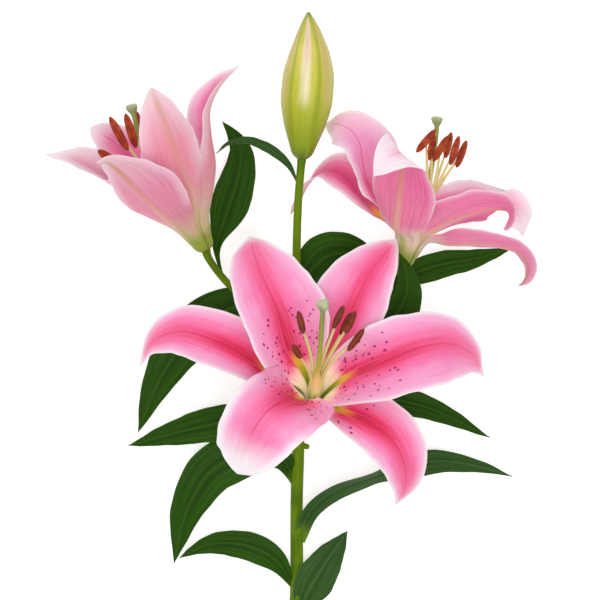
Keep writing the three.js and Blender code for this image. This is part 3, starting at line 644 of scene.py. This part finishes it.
def add_spots(mesh, blade, places, slot):
    """Small raised dark papillae, each a low dome longer along the petal."""
    turn = 2 * np.pi * np.arange(SPOT_SIDES) / SPOT_SIDES
    for s, u, size in places:
        point, along, normal = blade.spot(s, u)
        flat = along * SPOT_LENGTH * np.cos(turn)[:, None]
        flat = flat + np.cross(normal, along) * np.sin(turn)[:, None]
        swell = min(1, size * SPOT_SWELL)
        rings = [point + flat * share * size + normal * height * swell for share, height in SPOT_LEVELS]
        rings.append([point - normal * SPOT_BASE, point + normal * SPOT_TOP * swell])
        n, levels = SPOT_SIDES, len(SPOT_LEVELS)
        base, tip, last = levels * n, levels * n + 1, (levels - 1) * n
        faces = grid_faces(levels, n, closed=True, flip=True)
        faces += [(base, (k + 1) % n, k) for k in range(n)]
        faces += [(tip, last + k, last + (k + 1) % n) for k in range(n)]
        mesh.add(np.vstack(rings), faces, slot)


# ---------------------------------------------------------------- node materials


def rgb(code):
    """Linear colour of a six-digit sRGB code."""
    parts = [int(code[k:k + 2], 16) / 255 for k in (0, 2, 4)]
    return [c / 12.92 if c <= 0.04045 else ((c + 0.055) / 1.055) ** 2.4 for c in parts] + [1.0]


class Paint:
    """Builder of one node material. ground is the colour painted so far."""

    def __init__(self, name, **sockets):
        self.material = bpy.data.materials.new(name)
        self.material.use_nodes = True
        self.tree = self.material.node_tree
        self.shader = self.tree.nodes["Principled BSDF"]
        for socket, value in sockets.items():
            self.shader.inputs[socket.replace("_", " ")].default_value = value

    def plug(self, socket, value):
        if isinstance(value, bpy.types.NodeSocket):
            self.tree.links.new(value, socket)
        else:
            socket.default_value = value

    def node(self, kind, **settings):
        made = self.tree.nodes.new("ShaderNode" + kind)
        for key, value in settings.items():
            setattr(made, key, value)
        return made

    def value(self, name):
        return self.node("Attribute", attribute_name=name).outputs["Fac"]

    def math(self, operation, a, b=0.0):
        made = self.node("Math", operation=operation)
        self.plug(made.inputs[0], a)
        self.plug(made.inputs[1], b)
        return made.outputs[0]

    def times(self, a, b):
        return self.math("MULTIPLY", a, b)

    def plus(self, a, b):
        return self.math("ADD", a, b)

    def step(self, value, low, high):
        """0 below low, 1 above high (or the other way round), eased between."""
        made = self.node("MapRange", interpolation_type="SMOOTHSTEP")
        self.plug(made.inputs["Value"], value)
        flip = low > high
        self.plug(made.inputs["From Min"], high if flip else low)
        self.plug(made.inputs["From Max"], low if flip else high)
        made.inputs["To Min"].default_value = 1.0 if flip else 0.0
        made.inputs["To Max"].default_value = 0.0 if flip else 1.0
        return made.outputs["Result"]

    def mix(self, factor, a, b):
        made = self.node("Mix", data_type="RGBA")
        self.plug(made.inputs[0], factor)
        self.plug(made.inputs[6], rgb(a) if isinstance(a, str) else a)
        self.plug(made.inputs[7], rgb(b) if isinstance(b, str) else b)
        return made.outputs[2]

    def ramp(self, value, stops, interpolation="LINEAR"):
        """Colours by place: stops of (place, colour code)."""
        made = self.node("ValToRGB")
        self.plug(made.inputs[0], value)
        made.color_ramp.interpolation = interpolation
        elements = made.color_ramp.elements
        while len(elements) < len(stops):
            elements.new(0.5)
        for element, (place, colour) in zip(elements, stops):
            element.position = place
            element.color = rgb(colour) if isinstance(colour, str) else colour
        return made.outputs[0]

    def curve(self, value, knots):
        """Number by place: knots of (place, number from 0 to 1)."""
        return self.ramp(value, [(place, (k, k, k, 1)) for place, k in knots], "EASE")

    def point(self, x, y, z=0.0):
        made = self.node("CombineXYZ")
        for socket, value in zip(made.inputs, (x, y, z)):
            self.plug(socket, value)
        return made.outputs[0]

    def noise(self, vector, scale, detail=2.0, roughness=0.5):
        made = self.node("TexNoise")
        self.plug(made.inputs["Vector"], vector)
        made.inputs["Scale"].default_value = scale
        made.inputs["Detail"].default_value = detail
        made.inputs["Roughness"].default_value = roughness
        return made.outputs[0]

    def place(self):
        return self.node("TexCoord").outputs["Object"]

    def bump(self, height, distance, strength=1.0):
        made = self.node("Bump")
        made.inputs["Strength"].default_value = strength
        made.inputs["Distance"].default_value = distance
        self.plug(made.inputs["Height"], height)
        self.plug(self.shader.inputs["Normal"], made.outputs[0])

    def over(self, mask, colour, share=None):
        """Lays a colour over the ground, by the mask or by a share of it."""
        factor = mask if share is None else self.times(mask, share)
        self.ground = self.mix(factor, self.ground, colour)

    def finished(self):
        self.plug(self.shader.inputs["Base Color"], self.ground)
        return self.material

    def wandering(self, value, noise, amount):
        """The value shifted up and down by a noise around a half."""
        return self.plus(value, self.times(self.math("SUBTRACT", noise, 0.5), amount))

    def streaks(self, fine, seed, length=2.5):
        """Noise drawn out along a blade: about that many streaks across its half."""
        across = self.times(self.value("across"), fine)
        along = self.times(self.value("along"), length)
        return self.noise(self.point(across, along, seed), 1.0, 3.0, 0.6)

    def ribs(self, turn, across, along):
        """Noise drawn out along a round part: fine ridges at an angle around it."""
        place = self.point(self.times(turn, across), self.times(self.value("along"), along))
        return self.noise(place, 1.0, 3)


# Colours of a tepal's faces. Places along it run from 0 at the root to 1 at the tip, widths
# are in millimetres, and a reach is how strong a band is along the tepal.
INNER_FRONT = {
    "near": "F482B5", "far": "F9A9D3", "end": "F9A2CC",
    "band": "F6457F", "core": "D41A4A", "rim": "F9EBF2", "tip": (0.93, 1.0),
    "band_width": 13.0, "core_width": 6.5, "rim_width": 3.0, "rim_from": (0.2, 0.36),
    "band_reach": [(0.2, 0.0), (0.3, 1.0), (0.45, 0.95), (0.6, 0.7), (0.75, 0.5), (1.0, 0.4)],
    "core_reach": [(0.22, 0.0), (0.3, 0.75), (0.4, 1.0), (0.52, 0.75), (0.68, 0.25), (1.0, 0.0)],
}
INNER_HOT = {
    **INNER_FRONT, "near": "F47FB4", "band": "F94C8A", "core": "E0265A",
    "band_reach": [(0.2, 0.0), (0.3, 1.0), (0.5, 0.95), (0.7, 0.75), (1.0, 0.45)],
    "core_reach": [(0.22, 0.0), (0.3, 0.75), (0.45, 0.95), (0.65, 0.5), (0.85, 0.3), (1.0, 0.0)],
}
INNER_LOW = {
    **INNER_FRONT, "tip": (0.7, 0.93), "rim_width": 6.5, "rim": "FCF5F8", "rim_from": (0.42, 0.66),
    "band_width": 17.0, "core_width": 9.0,
    "band_reach": [(0.2, 0.0), (0.3, 1.0), (0.44, 0.9), (0.56, 0.4), (0.7, 0.12), (1.0, 0.0)],
    "core_reach": [(0.22, 0.0), (0.3, 0.85), (0.4, 0.95), (0.5, 0.55), (0.62, 0.1), (1.0, 0.0)],
}
INNER_SIDE = {
    **INNER_FRONT,
    "near": "EC7DAE", "far": "EFB0D0", "end": "F1C3DA", "core": "C42E66", "band": "E2558F",
    "tip": (0.85, 1.0),
}
INNER_ARCH = {
    **INNER_SIDE,
    "near": "F39CC8", "far": "FBCFE8", "end": "FCD2EA", "tip": (0.92, 1.0),
    "band_reach": [(0.2, 0.0), (0.3, 1.0), (0.45, 0.8), (0.6, 0.3), (0.75, 0.0), (1.0, 0.0)],
    "core_reach": [(0.22, 0.0), (0.3, 0.7), (0.42, 0.6), (0.55, 0.1), (0.7, 0.0), (1.0, 0.0)],
}
INNER_PALE = {
    **INNER_SIDE,
    "near": "E8A9C0", "far": "ECD2DD", "end": "EBD6DC", "core": "CC6A8C", "band": "DB8CA8",
    "tip": (0.8, 1.0), "rim_width": 4.0,
}
INNER_TONGUE = {
    **INNER_SIDE,
    "near": "F0A6C6", "far": "F6CFE0", "end": "F6DDE6", "band": "EA6A9E", "tip": (0.66, 0.95),
    "rim_width": 3.5,
}
INNER_FLAP = {
    **INNER_SIDE,
    "near": "F6CFE2", "far": "F9E6F0", "end": "FAEAF2", "core": "E0407C", "band": "F09CC2",
    "core_width": 3.0, "band_width": 8.0, "tip": (0.75, 0.95),
}
OUTER = {
    "side": [
        (0.0, "8E9C42"), (0.08, "C2B77E"), (0.18, "DDAFA0"), (0.35, "E08AA0"), (0.65, "E48CAA"),
        (0.88, "E4B4C4"), (1.0, "E6DAD6"),
    ],
    "rib": [
        (0.0, "84963A"), (0.12, "B7B26A"), (0.3, "E0B497"), (0.55, "DF9A8C"), (0.85, "D08C6C"),
        (1.0, "C2A870"),
    ],
    "edge": "F0C9D8", "edge_width": 8.0, "streak": "CF6A86", "streakiness": 0.3, "rim": "F5DFE8",
}
OUTER_PALE = {
    **OUTER,
    "side": [
        (0.0, "8E9C42"), (0.08, "C6BD84"), (0.18, "E0B8AA"), (0.35, "E598A8"), (0.65, "E997AC"),
        (0.88, "E9B7C4"), (1.0, "EBDCD8"),
    ],
    "rib": [
        (0.0, "84963A"), (0.12, "BBB872"), (0.3, "DDB49C"), (0.55, "E39A98"), (0.85, "DDA298"),
        (1.0, "CDB292"),
    ],
    "edge": "F1D0DC", "edge_width": 11.0, "streak": "DD7C92", "streakiness": 0.25,
}
OUTER_ROSE = {
    **OUTER,
    "side": [
        (0.0, "A3AB5A"), (0.07, "D6D0A2"), (0.18, "E6CDBE"), (0.3, "E886A6"), (0.65, "EB72A8"),
        (0.88, "EA9CC2"), (1.0, "EBD6DC"),
    ],
    "edge": "EBA9C6", "edge_width": 5.0, "streak": "D2508A", "streakiness": 0.45,
}
TRANSLUCENT = {"Subsurface_Weight": 0.25, "Subsurface_Scale": 0.0015}
PETAL_SKIN = {"Roughness": 0.5, "Specular_IOR_Level": 0.3, **TRANSLUCENT}
THROAT_CREAM = "FFEBD2"
THROAT_PAINTED_GLOW = 0.2  # painted glow: the throat emits its own colour, standing in for light through the thin tepals and lifting its shade
FURROW = [
    (0.0, "5E7A16"), (0.14, "7C9414"), (0.21, "A9AC22"), (0.27, "DDBE3C"), (0.33, "EE9A58"),
    (1.0, "EE9A58"),
]


def inner_face(name, look):
    """Inner side of a tepal: crimson band over the rib, lilac sides, pale rim, green throat."""
    paint = Paint(name, **PETAL_SKIN, Emission_Strength=THROAT_PAINTED_GLOW)
    along, off_rib, margin = (paint.value(key) for key in ("along", "off_rib", "margin"))
    out = paint.math("ABSOLUTE", paint.value("across"))
    streak = paint.streaks(7, 0.0)
    fine = paint.streaks(30, 4.0, 4.0)
    cloud = paint.noise(paint.place(), 70, 2)
    sideways = paint.step(paint.wandering(out, cloud, 0.7), 0.2, 0.9)
    paint.ground = paint.mix(sideways, look["near"], look["far"])
    paint.over(paint.step(along, 0.7, 1.0), look["end"])
    spread = paint.wandering(off_rib, streak, 7.0)
    band = paint.step(paint.math("DIVIDE", spread, look["band_width"]), 1.0, 0.1)
    paint.over(band, look["band"], paint.curve(along, look["band_reach"]))
    core = paint.step(paint.math("DIVIDE", spread, look["core_width"]), 1.1, 0.0)
    paint.over(core, look["core"], paint.curve(along, look["core_reach"]))
    line_reach = paint.curve(along, [(0.2, 0.0), (0.35, 0.8), (0.9, 0.4), (1, 0)])
    paint.over(paint.step(off_rib, 0.8, 0.1), look["core"], line_reach)
    paint.over(paint.step(fine, 0.5, 0.72), "F9C0DC", 0.18)
    paint.over(paint.step(fine, 0.48, 0.3), look["band"], 0.2)
    at_rim = paint.step(along, *look["rim_from"])
    glow = paint.times(paint.step(paint.wandering(margin, cloud, 3.0), 7.5, 0.5), 0.55)
    paint.over(glow, "F8CFE4", at_rim)
    rim = paint.step(paint.wandering(margin, fine, 1.2), look["rim_width"], 0.2)
    paint.over(paint.times(rim, at_rim), look["rim"], 0.85)
    paint.over(paint.step(paint.wandering(along, streak, 0.12), *look["tip"]), look["rim"], 0.9)
    paint.over(paint.step(paint.wandering(along, streak, 0.14), 0.3, 0.16), THROAT_CREAM)
    furrow = paint.step(off_rib, 3.0, 1.4)
    paint.over(furrow, paint.ramp(along, FURROW), paint.step(along, 0.38, 0.29))
    # Painted glow: deep in the throat, where shade falls, the face emits its own colour so that it stays
    # bright.
    painted_glow_reach = paint.step(along, 0.36, 0.2)
    paint.plug(paint.shader.inputs["Emission Color"], paint.mix(painted_glow_reach, "000000", paint.ground))
    paint.bump(paint.plus(streak, paint.times(fine, 0.7)), 0.0007, 0.5)
    return paint.finished()


def outer_face(name, look):
    """Outer side of a tepal: dusty pink, green at the root, with a pale to orange rib."""
    paint = Paint(name, **PETAL_SKIN)
    along, off_rib, margin = (paint.value(key) for key in ("along", "off_rib", "margin"))
    streak = paint.streaks(9, 2.0)
    fine = paint.streaks(30, 5.0, 4.0)
    paint.ground = paint.ramp(along, look["side"])
    paint.over(paint.step(streak, 0.42, 0.68), look["streak"], look["streakiness"])
    paint.over(paint.step(fine, 0.5, 0.72), "F0C8D4", 0.3)
    rib = paint.step(paint.plus(off_rib, paint.times(streak, 2.0)), 4.4, 1.2)
    paint.over(rib, paint.ramp(along, look["rib"]), 0.85)
    past_root = paint.step(along, 0.3, 0.5)
    paint.over(paint.times(paint.step(margin, look["edge_width"], 0.5), 0.75), look["edge"], past_root)
    paint.over(paint.times(paint.step(margin, 1.6, 0.2), past_root), look["rim"], 0.6)
    paint.over(paint.step(paint.wandering(along, streak, 0.08), 0.1, 0.0), "8FA038")
    paint.bump(paint.plus(streak, paint.times(fine, 0.5)), 0.0006, 0.5)
    return paint.finished()


def spot_face():
    """Papilla: a dull plum-red wart."""
    paint = Paint("papilla", Roughness=0.75, Specular_IOR_Level=0.1)
    shade = paint.noise(paint.place(), 900, 2)
    paint.ground = paint.mix(shade, "96235A", "BC3C76")
    paint.bump(shade, 0.0001, 0.4)
    return paint.finished()


def leaf_face(name, dark, light, vein):
    """Leaf: dark green with paler parallel veins and a paler stalk."""
    paint = Paint(name, Roughness=0.48, Specular_IOR_Level=0.12)
    along, off_rib, margin = (paint.value(key) for key in ("along", "off_rib", "margin"))
    streak = paint.streaks(5, 1.0, 1.2)
    fine = paint.streaks(34, 3.0, 2.0)
    lines = paint.math("COSINE", paint.times(paint.value("across"), 44.0))
    paint.ground = paint.mix(paint.step(streak, 0.3, 0.72), dark, light)
    paint.over(paint.step(lines, 0.6, 1.0), vein, 0.09)
    paint.over(paint.step(fine, 0.5, 0.75), vein, 0.24)
    paint.over(paint.step(off_rib, 0.9, 0.2), vein, 0.35)
    paint.over(paint.step(margin, 0.5, 0.1), vein, 0.5)
    paint.over(paint.step(along, 0.1, 0.0), "6B8E24")
    paint.bump(paint.plus(paint.times(lines, 0.5), fine), 0.0004, 0.5)
    return paint.finished()


def stem_face():
    """Stem: olive green, finely ribbed along, with a pale flecked skin."""
    paint = Paint("stem_skin", Roughness=0.55, Specular_IOR_Level=0.12)
    fleck = paint.noise(paint.place(), 700, 2)
    cloud = paint.noise(paint.place(), 45, 2)
    ribs = paint.ribs(paint.value("angle"), 4.0, 6.0)
    paint.ground = paint.mix(paint.step(cloud, 0.35, 0.65), "4C6A00", "628202")
    paint.over(paint.step(ribs, 0.45, 0.7), "72920C", 0.35)
    paint.over(paint.step(fleck, 0.6, 0.75), "90A444", 0.15)
    paint.bump(paint.plus(ribs, paint.times(fleck, 0.3)), 0.0004, 0.5)
    return paint.finished()


BUD_TURN = 0.63  # turn of the bud's three cream strips about its length, in radians
BUD_GREEN = [
    (0.0, "587006"), (0.1, "869C00"), (0.3, "A6B214"), (0.5, "C8C434"), (0.75, "DACC5C"),
    (0.95, "B0B23C"), (1.0, "546E0C"),
]


def bud_face():
    """Bud: a cream strip between yellow ridges, green lines beside them, a brownish blush."""
    paint = Paint("bud_skin", Roughness=0.4)
    along = paint.value("along")
    angle = paint.plus(paint.value("angle"), BUD_TURN)
    streak = paint.ribs(angle, 7.0, 3.0)
    third = paint.wandering(paint.math("PINGPONG", angle, math.pi / 3), streak, 0.12)
    paint.ground = paint.ramp(along, BUD_GREEN)
    strip = paint.curve(along, [(0.3, 0.0), (0.48, 0.75), (0.65, 0.95), (0.88, 0.9), (1.0, 0.2)])
    paint.over(paint.step(third, 0.3, 0.08), "F4E6C4", strip)
    pink = paint.curve(along, [(0.6, 0.0), (0.7, 0.75), (0.88, 0.85), (1.0, 0.0)])
    paint.over(paint.step(third, 0.24, 0.06), "F3C9B8", pink)
    blush = paint.curve(along, [(0.3, 0.0), (0.5, 0.75), (0.85, 0.9), (1.0, 0.2)])
    paint.over(paint.step(third, 0.66, 0.9), "C4AE60", blush)
    line = paint.times(paint.step(third, 0.4, 0.56), paint.step(third, 0.78, 0.6))
    paint.over(line, "8A9E14", 0.65)
    paint.over(paint.step(streak, 0.45, 0.7), "A4B026", 0.35)
    paint.bump(streak, 0.0005, 0.5)
    return paint.finished()


def pistil_face():
    """Pistil: pale ovary, green style and a grey-green downy stigma."""
    paint = Paint("pistil_skin", Roughness=0.45, **TRANSLUCENT)
    down = paint.noise(paint.place(), 1500, 2)
    # Stigma (0.96 to 1.0): its own grey-green, painted darker at its foot as shade and paler toward its
    # tip.
    paint.ground = paint.ramp(paint.value("along"), [
        (0.0, "E6D98A"), (0.2, "FFEDBE"), (0.34, "F0E690"), (0.45, "BFC840"), (0.7, "98A432"),
        (0.9, "868F34"), (0.96, "8C9A66"), (1.0, "B7BF94"),
    ])
    paint.over(paint.step(down, 0.5, 0.7), "D5DDAE", 0.25)
    paint.bump(down, 0.0003, 0.5)
    return paint.finished()


def filament_face():
    """Filament: pale yellow-green, tan where it meets the anther."""
    paint = Paint("filament_skin", Roughness=0.45)
    streak = paint.noise(paint.place(), 500, 2)
    stops = [(0.0, "D9DA96"), (0.45, "DFE088"), (0.85, "DCD683"), (1.0, "C09A4A")]
    paint.ground = paint.ramp(paint.value("along"), stops)
    paint.over(streak, "F0EDC8", 0.4)
    paint.bump(streak, 0.0002, 0.4)
    return paint.finished()


def anther_face(name, dark, light, groove):
    """Anther: rust-brown pollen grains, with a groove along it."""
    paint = Paint(name, Roughness=0.85)
    grain = paint.noise(paint.place(), 2600, 3, 0.7)
    cloud = paint.noise(paint.place(), 260, 2)
    paint.ground = paint.mix(paint.step(cloud, 0.35, 0.65), dark, light)
    paint.over(paint.step(grain, 0.5, 0.7), "D06A2A", 0.4)
    line = paint.step(paint.math("ABSOLUTE", paint.math("COSINE", paint.value("angle"))), 0.35, 0.05)
    paint.over(line, groove, 0.6)
    paint.bump(grain, 0.0004, 0.8)
    return paint.finished()


FLOOR_GLOW = 0.62


def floor_face():
    """White light table: pale, even and slightly glowing, so that shadows stay faint."""
    paint = Paint("floor_paper", Roughness=0.9, Emission_Color=WHITE, Emission_Strength=FLOOR_GLOW)
    paint.ground = paint.mix(paint.noise(paint.place(), 3, 2), "D6D6D6", "DCDCDC")
    return paint.finished()


# ---------------------------------------------------------------- stem and bud

INTO_BUD = [1.5, 90, 33.8]  # the stem's last point
INTO_BLOOM = 4  # how far below a bloom's foot its pedicel turns to the bloom's axis
ROOT, NECK = PEDICEL_RADIUS["root"], PEDICEL_RADIUS["neck"]
PEDICEL_TAPER = [[0, ROOT], [0.3, NECK], [0.84, NECK], [0.92, 2.6], [1, 3.2]]


def make_stem():
    mesh = Mesh()
    sweep(mesh, STEM["path"] + [INTO_BUD], STEM["radius"], 36, 180, ribbed(9, 0.012), soften=40)
    for name in PEDICELS:
        bloom = bloom_frame(BLOOMS[name])
        path = PEDICELS[name] + [in_bloom(bloom, 0, 0, height) for height in (-INTO_BLOOM, 0)]
        sweep(mesh, path, PEDICEL_TAPER, 28, 60, ribbed(7, 0.015), soften=20)
    sweep(mesh, STUB["path"], STUB["radius"], 16, 12, ribbed(5, 0.03))
    mesh.piece("fine_stem", "stem", [stem_face()])


def bud_section(s, a):
    """Three lobes, with raised ridges beside each strip and shallow grooves between."""
    a = a + BUD_TURN
    third = np.abs((a / (2 * np.pi / 3) + 0.5) % 1 - 0.5) * 2 * np.pi / 3
    ridge = np.exp(-(((third - 0.45) / 0.16) ** 2))
    groove = np.exp(-(((third - 0.2) / 0.07) ** 2))
    rise = smoothstep(s, 0.02, 0.3) * (1 - smoothstep(s, 0.9, 1))
    return 1 + 0.02 * np.cos(3 * a) + (0.03 * ridge - 0.02 * groove) * rise


def make_bud():
    mesh = Mesh()
    sweep(mesh, BUD["path"], BUD["radius"], 120, 110, bud_section, soften=40)
    mesh.piece("fine_bud", "bud", [bud_face()])


# ---------------------------------------------------------------- leaves

SOFT_LEAVES = ("lower_right", "bottom_right", "bud_bract")


def make_leaves():
    tops = {
        "deep": leaf_face("leaf_deep_face", "193F00", "2B5602", "436C12"),
        "soft": leaf_face("leaf_soft_face", "254A12", "3A5C28", "587A4A"),
    }
    under = leaf_face("leaf_under_face", "355320", "44632E", "5F7C45")
    for index, (name, spec) in enumerate(LEAVES.items()):
        blade = Blade("leaf", {"phase": index * PHASE_STEP, **spec})
        mesh = Mesh()
        blade.add_to(mesh)
        top = tops["soft" if name in SOFT_LEAVES else "deep"]
        mesh.piece(f"fine_leaf_{name}", f"leaf_{name}", [top, under])


# ---------------------------------------------------------------- blooms


def bloom_frame(bloom):
    """Foot of a bloom, its axis, and the two directions across it."""
    axis = unit(np.array(bloom["axis"], float))
    first = unit(np.array([1.0, 0, 0]) - axis[0] * axis)
    return np.array(bloom["foot"], float), axis, first, np.cross(axis, first)


def outward(bloom, degrees):
    turn = math.radians(degrees)
    return bloom[2] * math.cos(turn) + bloom[3] * math.sin(turn)


def in_bloom(bloom, degrees, distance, height):
    """Point at a distance from a bloom's axis and a height above its foot."""
    return list(bloom[0] + outward(bloom, degrees) * distance + bloom[1] * height)


def tepal_kind(bloom, index):
    second = "sepal" if bloom["first"] == "petal" else "petal"
    return bloom["first"] if index % 2 == 0 else second


# Spots of a tepal: how many, the seed, and their places along and across it.
SPOTS = {
    "front_petal_right": (58, 3, (0.25, 0.52), (0.16, 0.82)),
    "front_petal_upper_left": (58, 5, (0.26, 0.56), (0.16, 0.8)),
    "front_petal_lower_left": (44, 8, (0.25, 0.5), (0.2, 0.8)),
    "front_sepal_lower_right": (8, 4, (0.3, 0.42), (0.3, 0.8)),
}
# Looks of the tepals that differ from their bloom's usual one, and roots made wider.
INNER_LOOKS = {
    "arch": INNER_ARCH, "front": INNER_FRONT, "hot": INNER_HOT, "low": INNER_LOW,
    "side": INNER_SIDE, "pale": INNER_PALE, "flap": INNER_FLAP, "tongue": INNER_TONGUE,
}
OUTER_LOOKS = {"plain": OUTER, "pale": OUTER_PALE, "rose": OUTER_ROSE}
INNER_OF = {
    "front_sepal_upper_right": "hot",
    "front_petal_lower_left": "low",
    "left_petal_left": "pale",
    "right_petal_left": "arch",
    "right_sepal_near_left": "flap",
    "right_petal_far_right": "tongue",
    "right_petal_near_right": "tongue",
}
OUTER_OF = {
    "left_petal_near_right": "pale",
    "left_sepal_right": "pale",
    "right_sepal_near_left": "rose",
    "right_petal_near_right": "rose",
    "right_sepal_right": "rose",
}
FINE_SHAPE = {
    "left_petal_near_right": {"spread": 0.2},
    "left_sepal_right": {"spread": 0.5},
    "right_sepal_near_left": {"spread": 0.4},
}
TURN = 60  # degrees from one tepal or stamen to the next


def make_tepals(where, bloom, inner, outer, spot):
    frame_of = bloom_frame(bloom)
    for index, (name, spec) in enumerate(bloom["tepals"].items()):
        kind = tepal_kind(bloom, index)
        node = f"{where}_{kind}_{name}"
        root = [in_bloom(frame_of, TURN * index, *place) for place in THROAT[kind]]
        across = np.cross(frame_of[1], outward(frame_of, TURN * index))
        shape = {
            **FINE_SHAPE.get(node, {}), "across": across, "foot": frame_of[0], "axis": frame_of[1],
            "phase": index * PHASE_STEP, **spec, "path": root + spec["path"],
        }
        blade = Blade(kind, shape)
        mesh = Mesh()
        blade.add_to(mesh)
        if node in SPOTS:
            count, seed, reach, spread = SPOTS[node]
            add_spots(mesh, blade, spot_places(count, seed, reach, spread), 2)
        usual = "front" if where == "front" else "side"
        faces = [inner[INNER_OF.get(node, usual)], outer[OUTER_OF.get(node, "plain")], spot]
        mesh.piece(f"fine_{node}", node, faces)


OVARY_HEIGHT = 8  # up to here a pistil follows its bloom's axis
PISTIL_RADIUS = [
    [0, 1.5], [0.05, 2.1], [0.16, 3.0], [0.3, 2.9], [0.42, 1.5], [0.93, 1.45], [0.965, 2.9],
    [0.985, 3.4], [1, 2.2],
]


def pistil_section(s, a):
    """Six-ridged ovary, round style and three-lobed stigma."""
    ovary = 0.1 * np.cos(6 * a) * (1 - smoothstep(s, 0.3, 0.4))
    stigma = 0.22 * np.cos(3 * a) * smoothstep(s, 0.9, 0.95)
    return 1 + ovary + stigma


def make_pistil(where, bloom, skin):
    frame_of = bloom_frame(bloom)
    path = [in_bloom(frame_of, 0, 0, height) for height in (GAP, OVARY_HEIGHT)] + bloom["pistil"]
    mesh = Mesh()
    sweep(mesh, path, PISTIL_RADIUS, 36, 120, pistil_section, soften=10)
    mesh.piece(f"fine_{where}_pistil", f"{where}_pistil", [skin])


def anther_section(s, a):
    """Two pollen sacs with a groove between them on each side."""
    return 1 + 0.16 * np.cos(2 * a) - 0.12 * np.exp(-((np.cos(a) / 0.25) ** 2))


FILAMENT_RADIUS = [[0, 1.2], [0.6, 1.0], [0.9, 0.65], [1, 0.4]]
ANTHER_RADIUS = {"front": 1.75, "left": 2.2, "right": 1.9}
ANTHER_TAPER = [[0, 0.08], [0.05, 0.45], [0.2, 0.85], [0.5, 1.0], [0.8, 0.8], [0.94, 0.42], [1, 0.08]]


def make_stamens(where, bloom, skins):
    frame_of = bloom_frame(bloom)
    middle = (STAMEN_RING["inner"] + STAMEN_RING["outer"]) / 2
    roots = [[middle, STAMEN_RING["low"] + 0.4], [middle + 0.8, 13]]
    mesh = Mesh()
    for index, (bend, low, high) in enumerate(bloom["stamens"]):
        low, high = np.array(low, float), np.array(high, float)
        path = [in_bloom(frame_of, TURN * index, *place) for place in roots]
        path += [bend, list((low + high) / 2)]
        sweep(mesh, path, FILAMENT_RADIUS, 12, 60, soften=10)
        lengthwise = [list(low), list((low + high) / 2), list(high)]
        radius = [[place, stout * ANTHER_RADIUS[where]] for place, stout in ANTHER_TAPER]
        sweep(mesh, lengthwise, radius, 28, 44, anther_section, slot=1)
    mesh.piece(f"fine_{where}_stamens", f"{where}_stamens", skins)


def make_blooms():
    spot = spot_face()
    pistil, filament = pistil_face(), filament_face()
    inner = {name: inner_face(f"{name}_inner", look) for name, look in INNER_LOOKS.items()}
    outer = {name: outer_face(f"{name}_outer", look) for name, look in OUTER_LOOKS.items()}
    dark = anther_face("anther_dark", "611A0E", "862812", "8A5A22")
    rust = anther_face("anther_rust", "8A280E", "B44618", "6E220E")
    for where, bloom in BLOOMS.items():
        make_tepals(where, bloom, inner, outer, spot)
        make_pistil(where, bloom, pistil)
        make_stamens(where, bloom, [filament, dark if where == "front" else rust])


# ---------------------------------------------------------------- camera, floor and light

CAMERA_HEIGHT = 1230  # in millimetres; the rest of this part is in metres
LENS, SENSOR = 120, 36
FLOOR_SIZE = 3.0
FLOOR_DROP = 0.0002  # keeps the floor just under the petals that lie on it
SKY_STRENGTH = 0.62
LIGHTS = {  # place, diameter, power
    "key": ((-0.6, 0.7, 1.5), 0.9, 5),
    "fill": ((0.9, -0.3, 1.4), 1.2, 1.5),
    "front": ((0.05, -0.2, 1.6), 0.5, 7),
}
LIT_POINT = Vector((0, 0, 0.05))


def make_camera():
    data = bpy.data.cameras.new("camera")
    data.lens, data.sensor_width = LENS, SENSOR
    camera = bpy.data.objects.new("camera", data)
    camera.location = (np.array([0, 0, CAMERA_HEIGHT]) + SHIFT) * MM
    bpy.context.scene.collection.objects.link(camera)
    bpy.context.scene.camera = camera


def make_floor():
    data = bpy.data.meshes.new("floor")
    r = FLOOR_SIZE / 2
    corners = [(x, y, -FLOOR_DROP) for x, y in ((-r, -r), (r, -r), (r, r), (-r, r))]
    data.from_pydata(corners, [], [(0, 1, 2, 3)])
    data.materials.append(floor_face())
    floor = bpy.data.objects.new("floor", data)
    bpy.context.scene.collection.objects.link(floor)


def make_light(name, place, size, power):
    data = bpy.data.lights.new(name, "AREA")
    data.shape, data.size, data.energy = "DISK", size, power
    light = bpy.data.objects.new(name, data)
    light.location = place
    aim = LIT_POINT - Vector(place)
    light.rotation_euler = aim.to_track_quat("-Z", "Y").to_euler()
    bpy.context.scene.collection.objects.link(light)


def make_studio():
    world = bpy.data.worlds.new("studio")
    world.use_nodes = True
    background = world.node_tree.nodes["Background"]
    background.inputs["Color"].default_value = WHITE
    background.inputs["Strength"].default_value = SKY_STRENGTH
    bpy.context.scene.world = world
    for name, (place, size, power) in LIGHTS.items():
        make_light(name, place, size, power)


make_camera()
make_floor()
make_studio()
make_stem()
make_bud()
make_leaves()
make_blooms()
bpy.context.scene.view_settings.view_transform = "Standard"
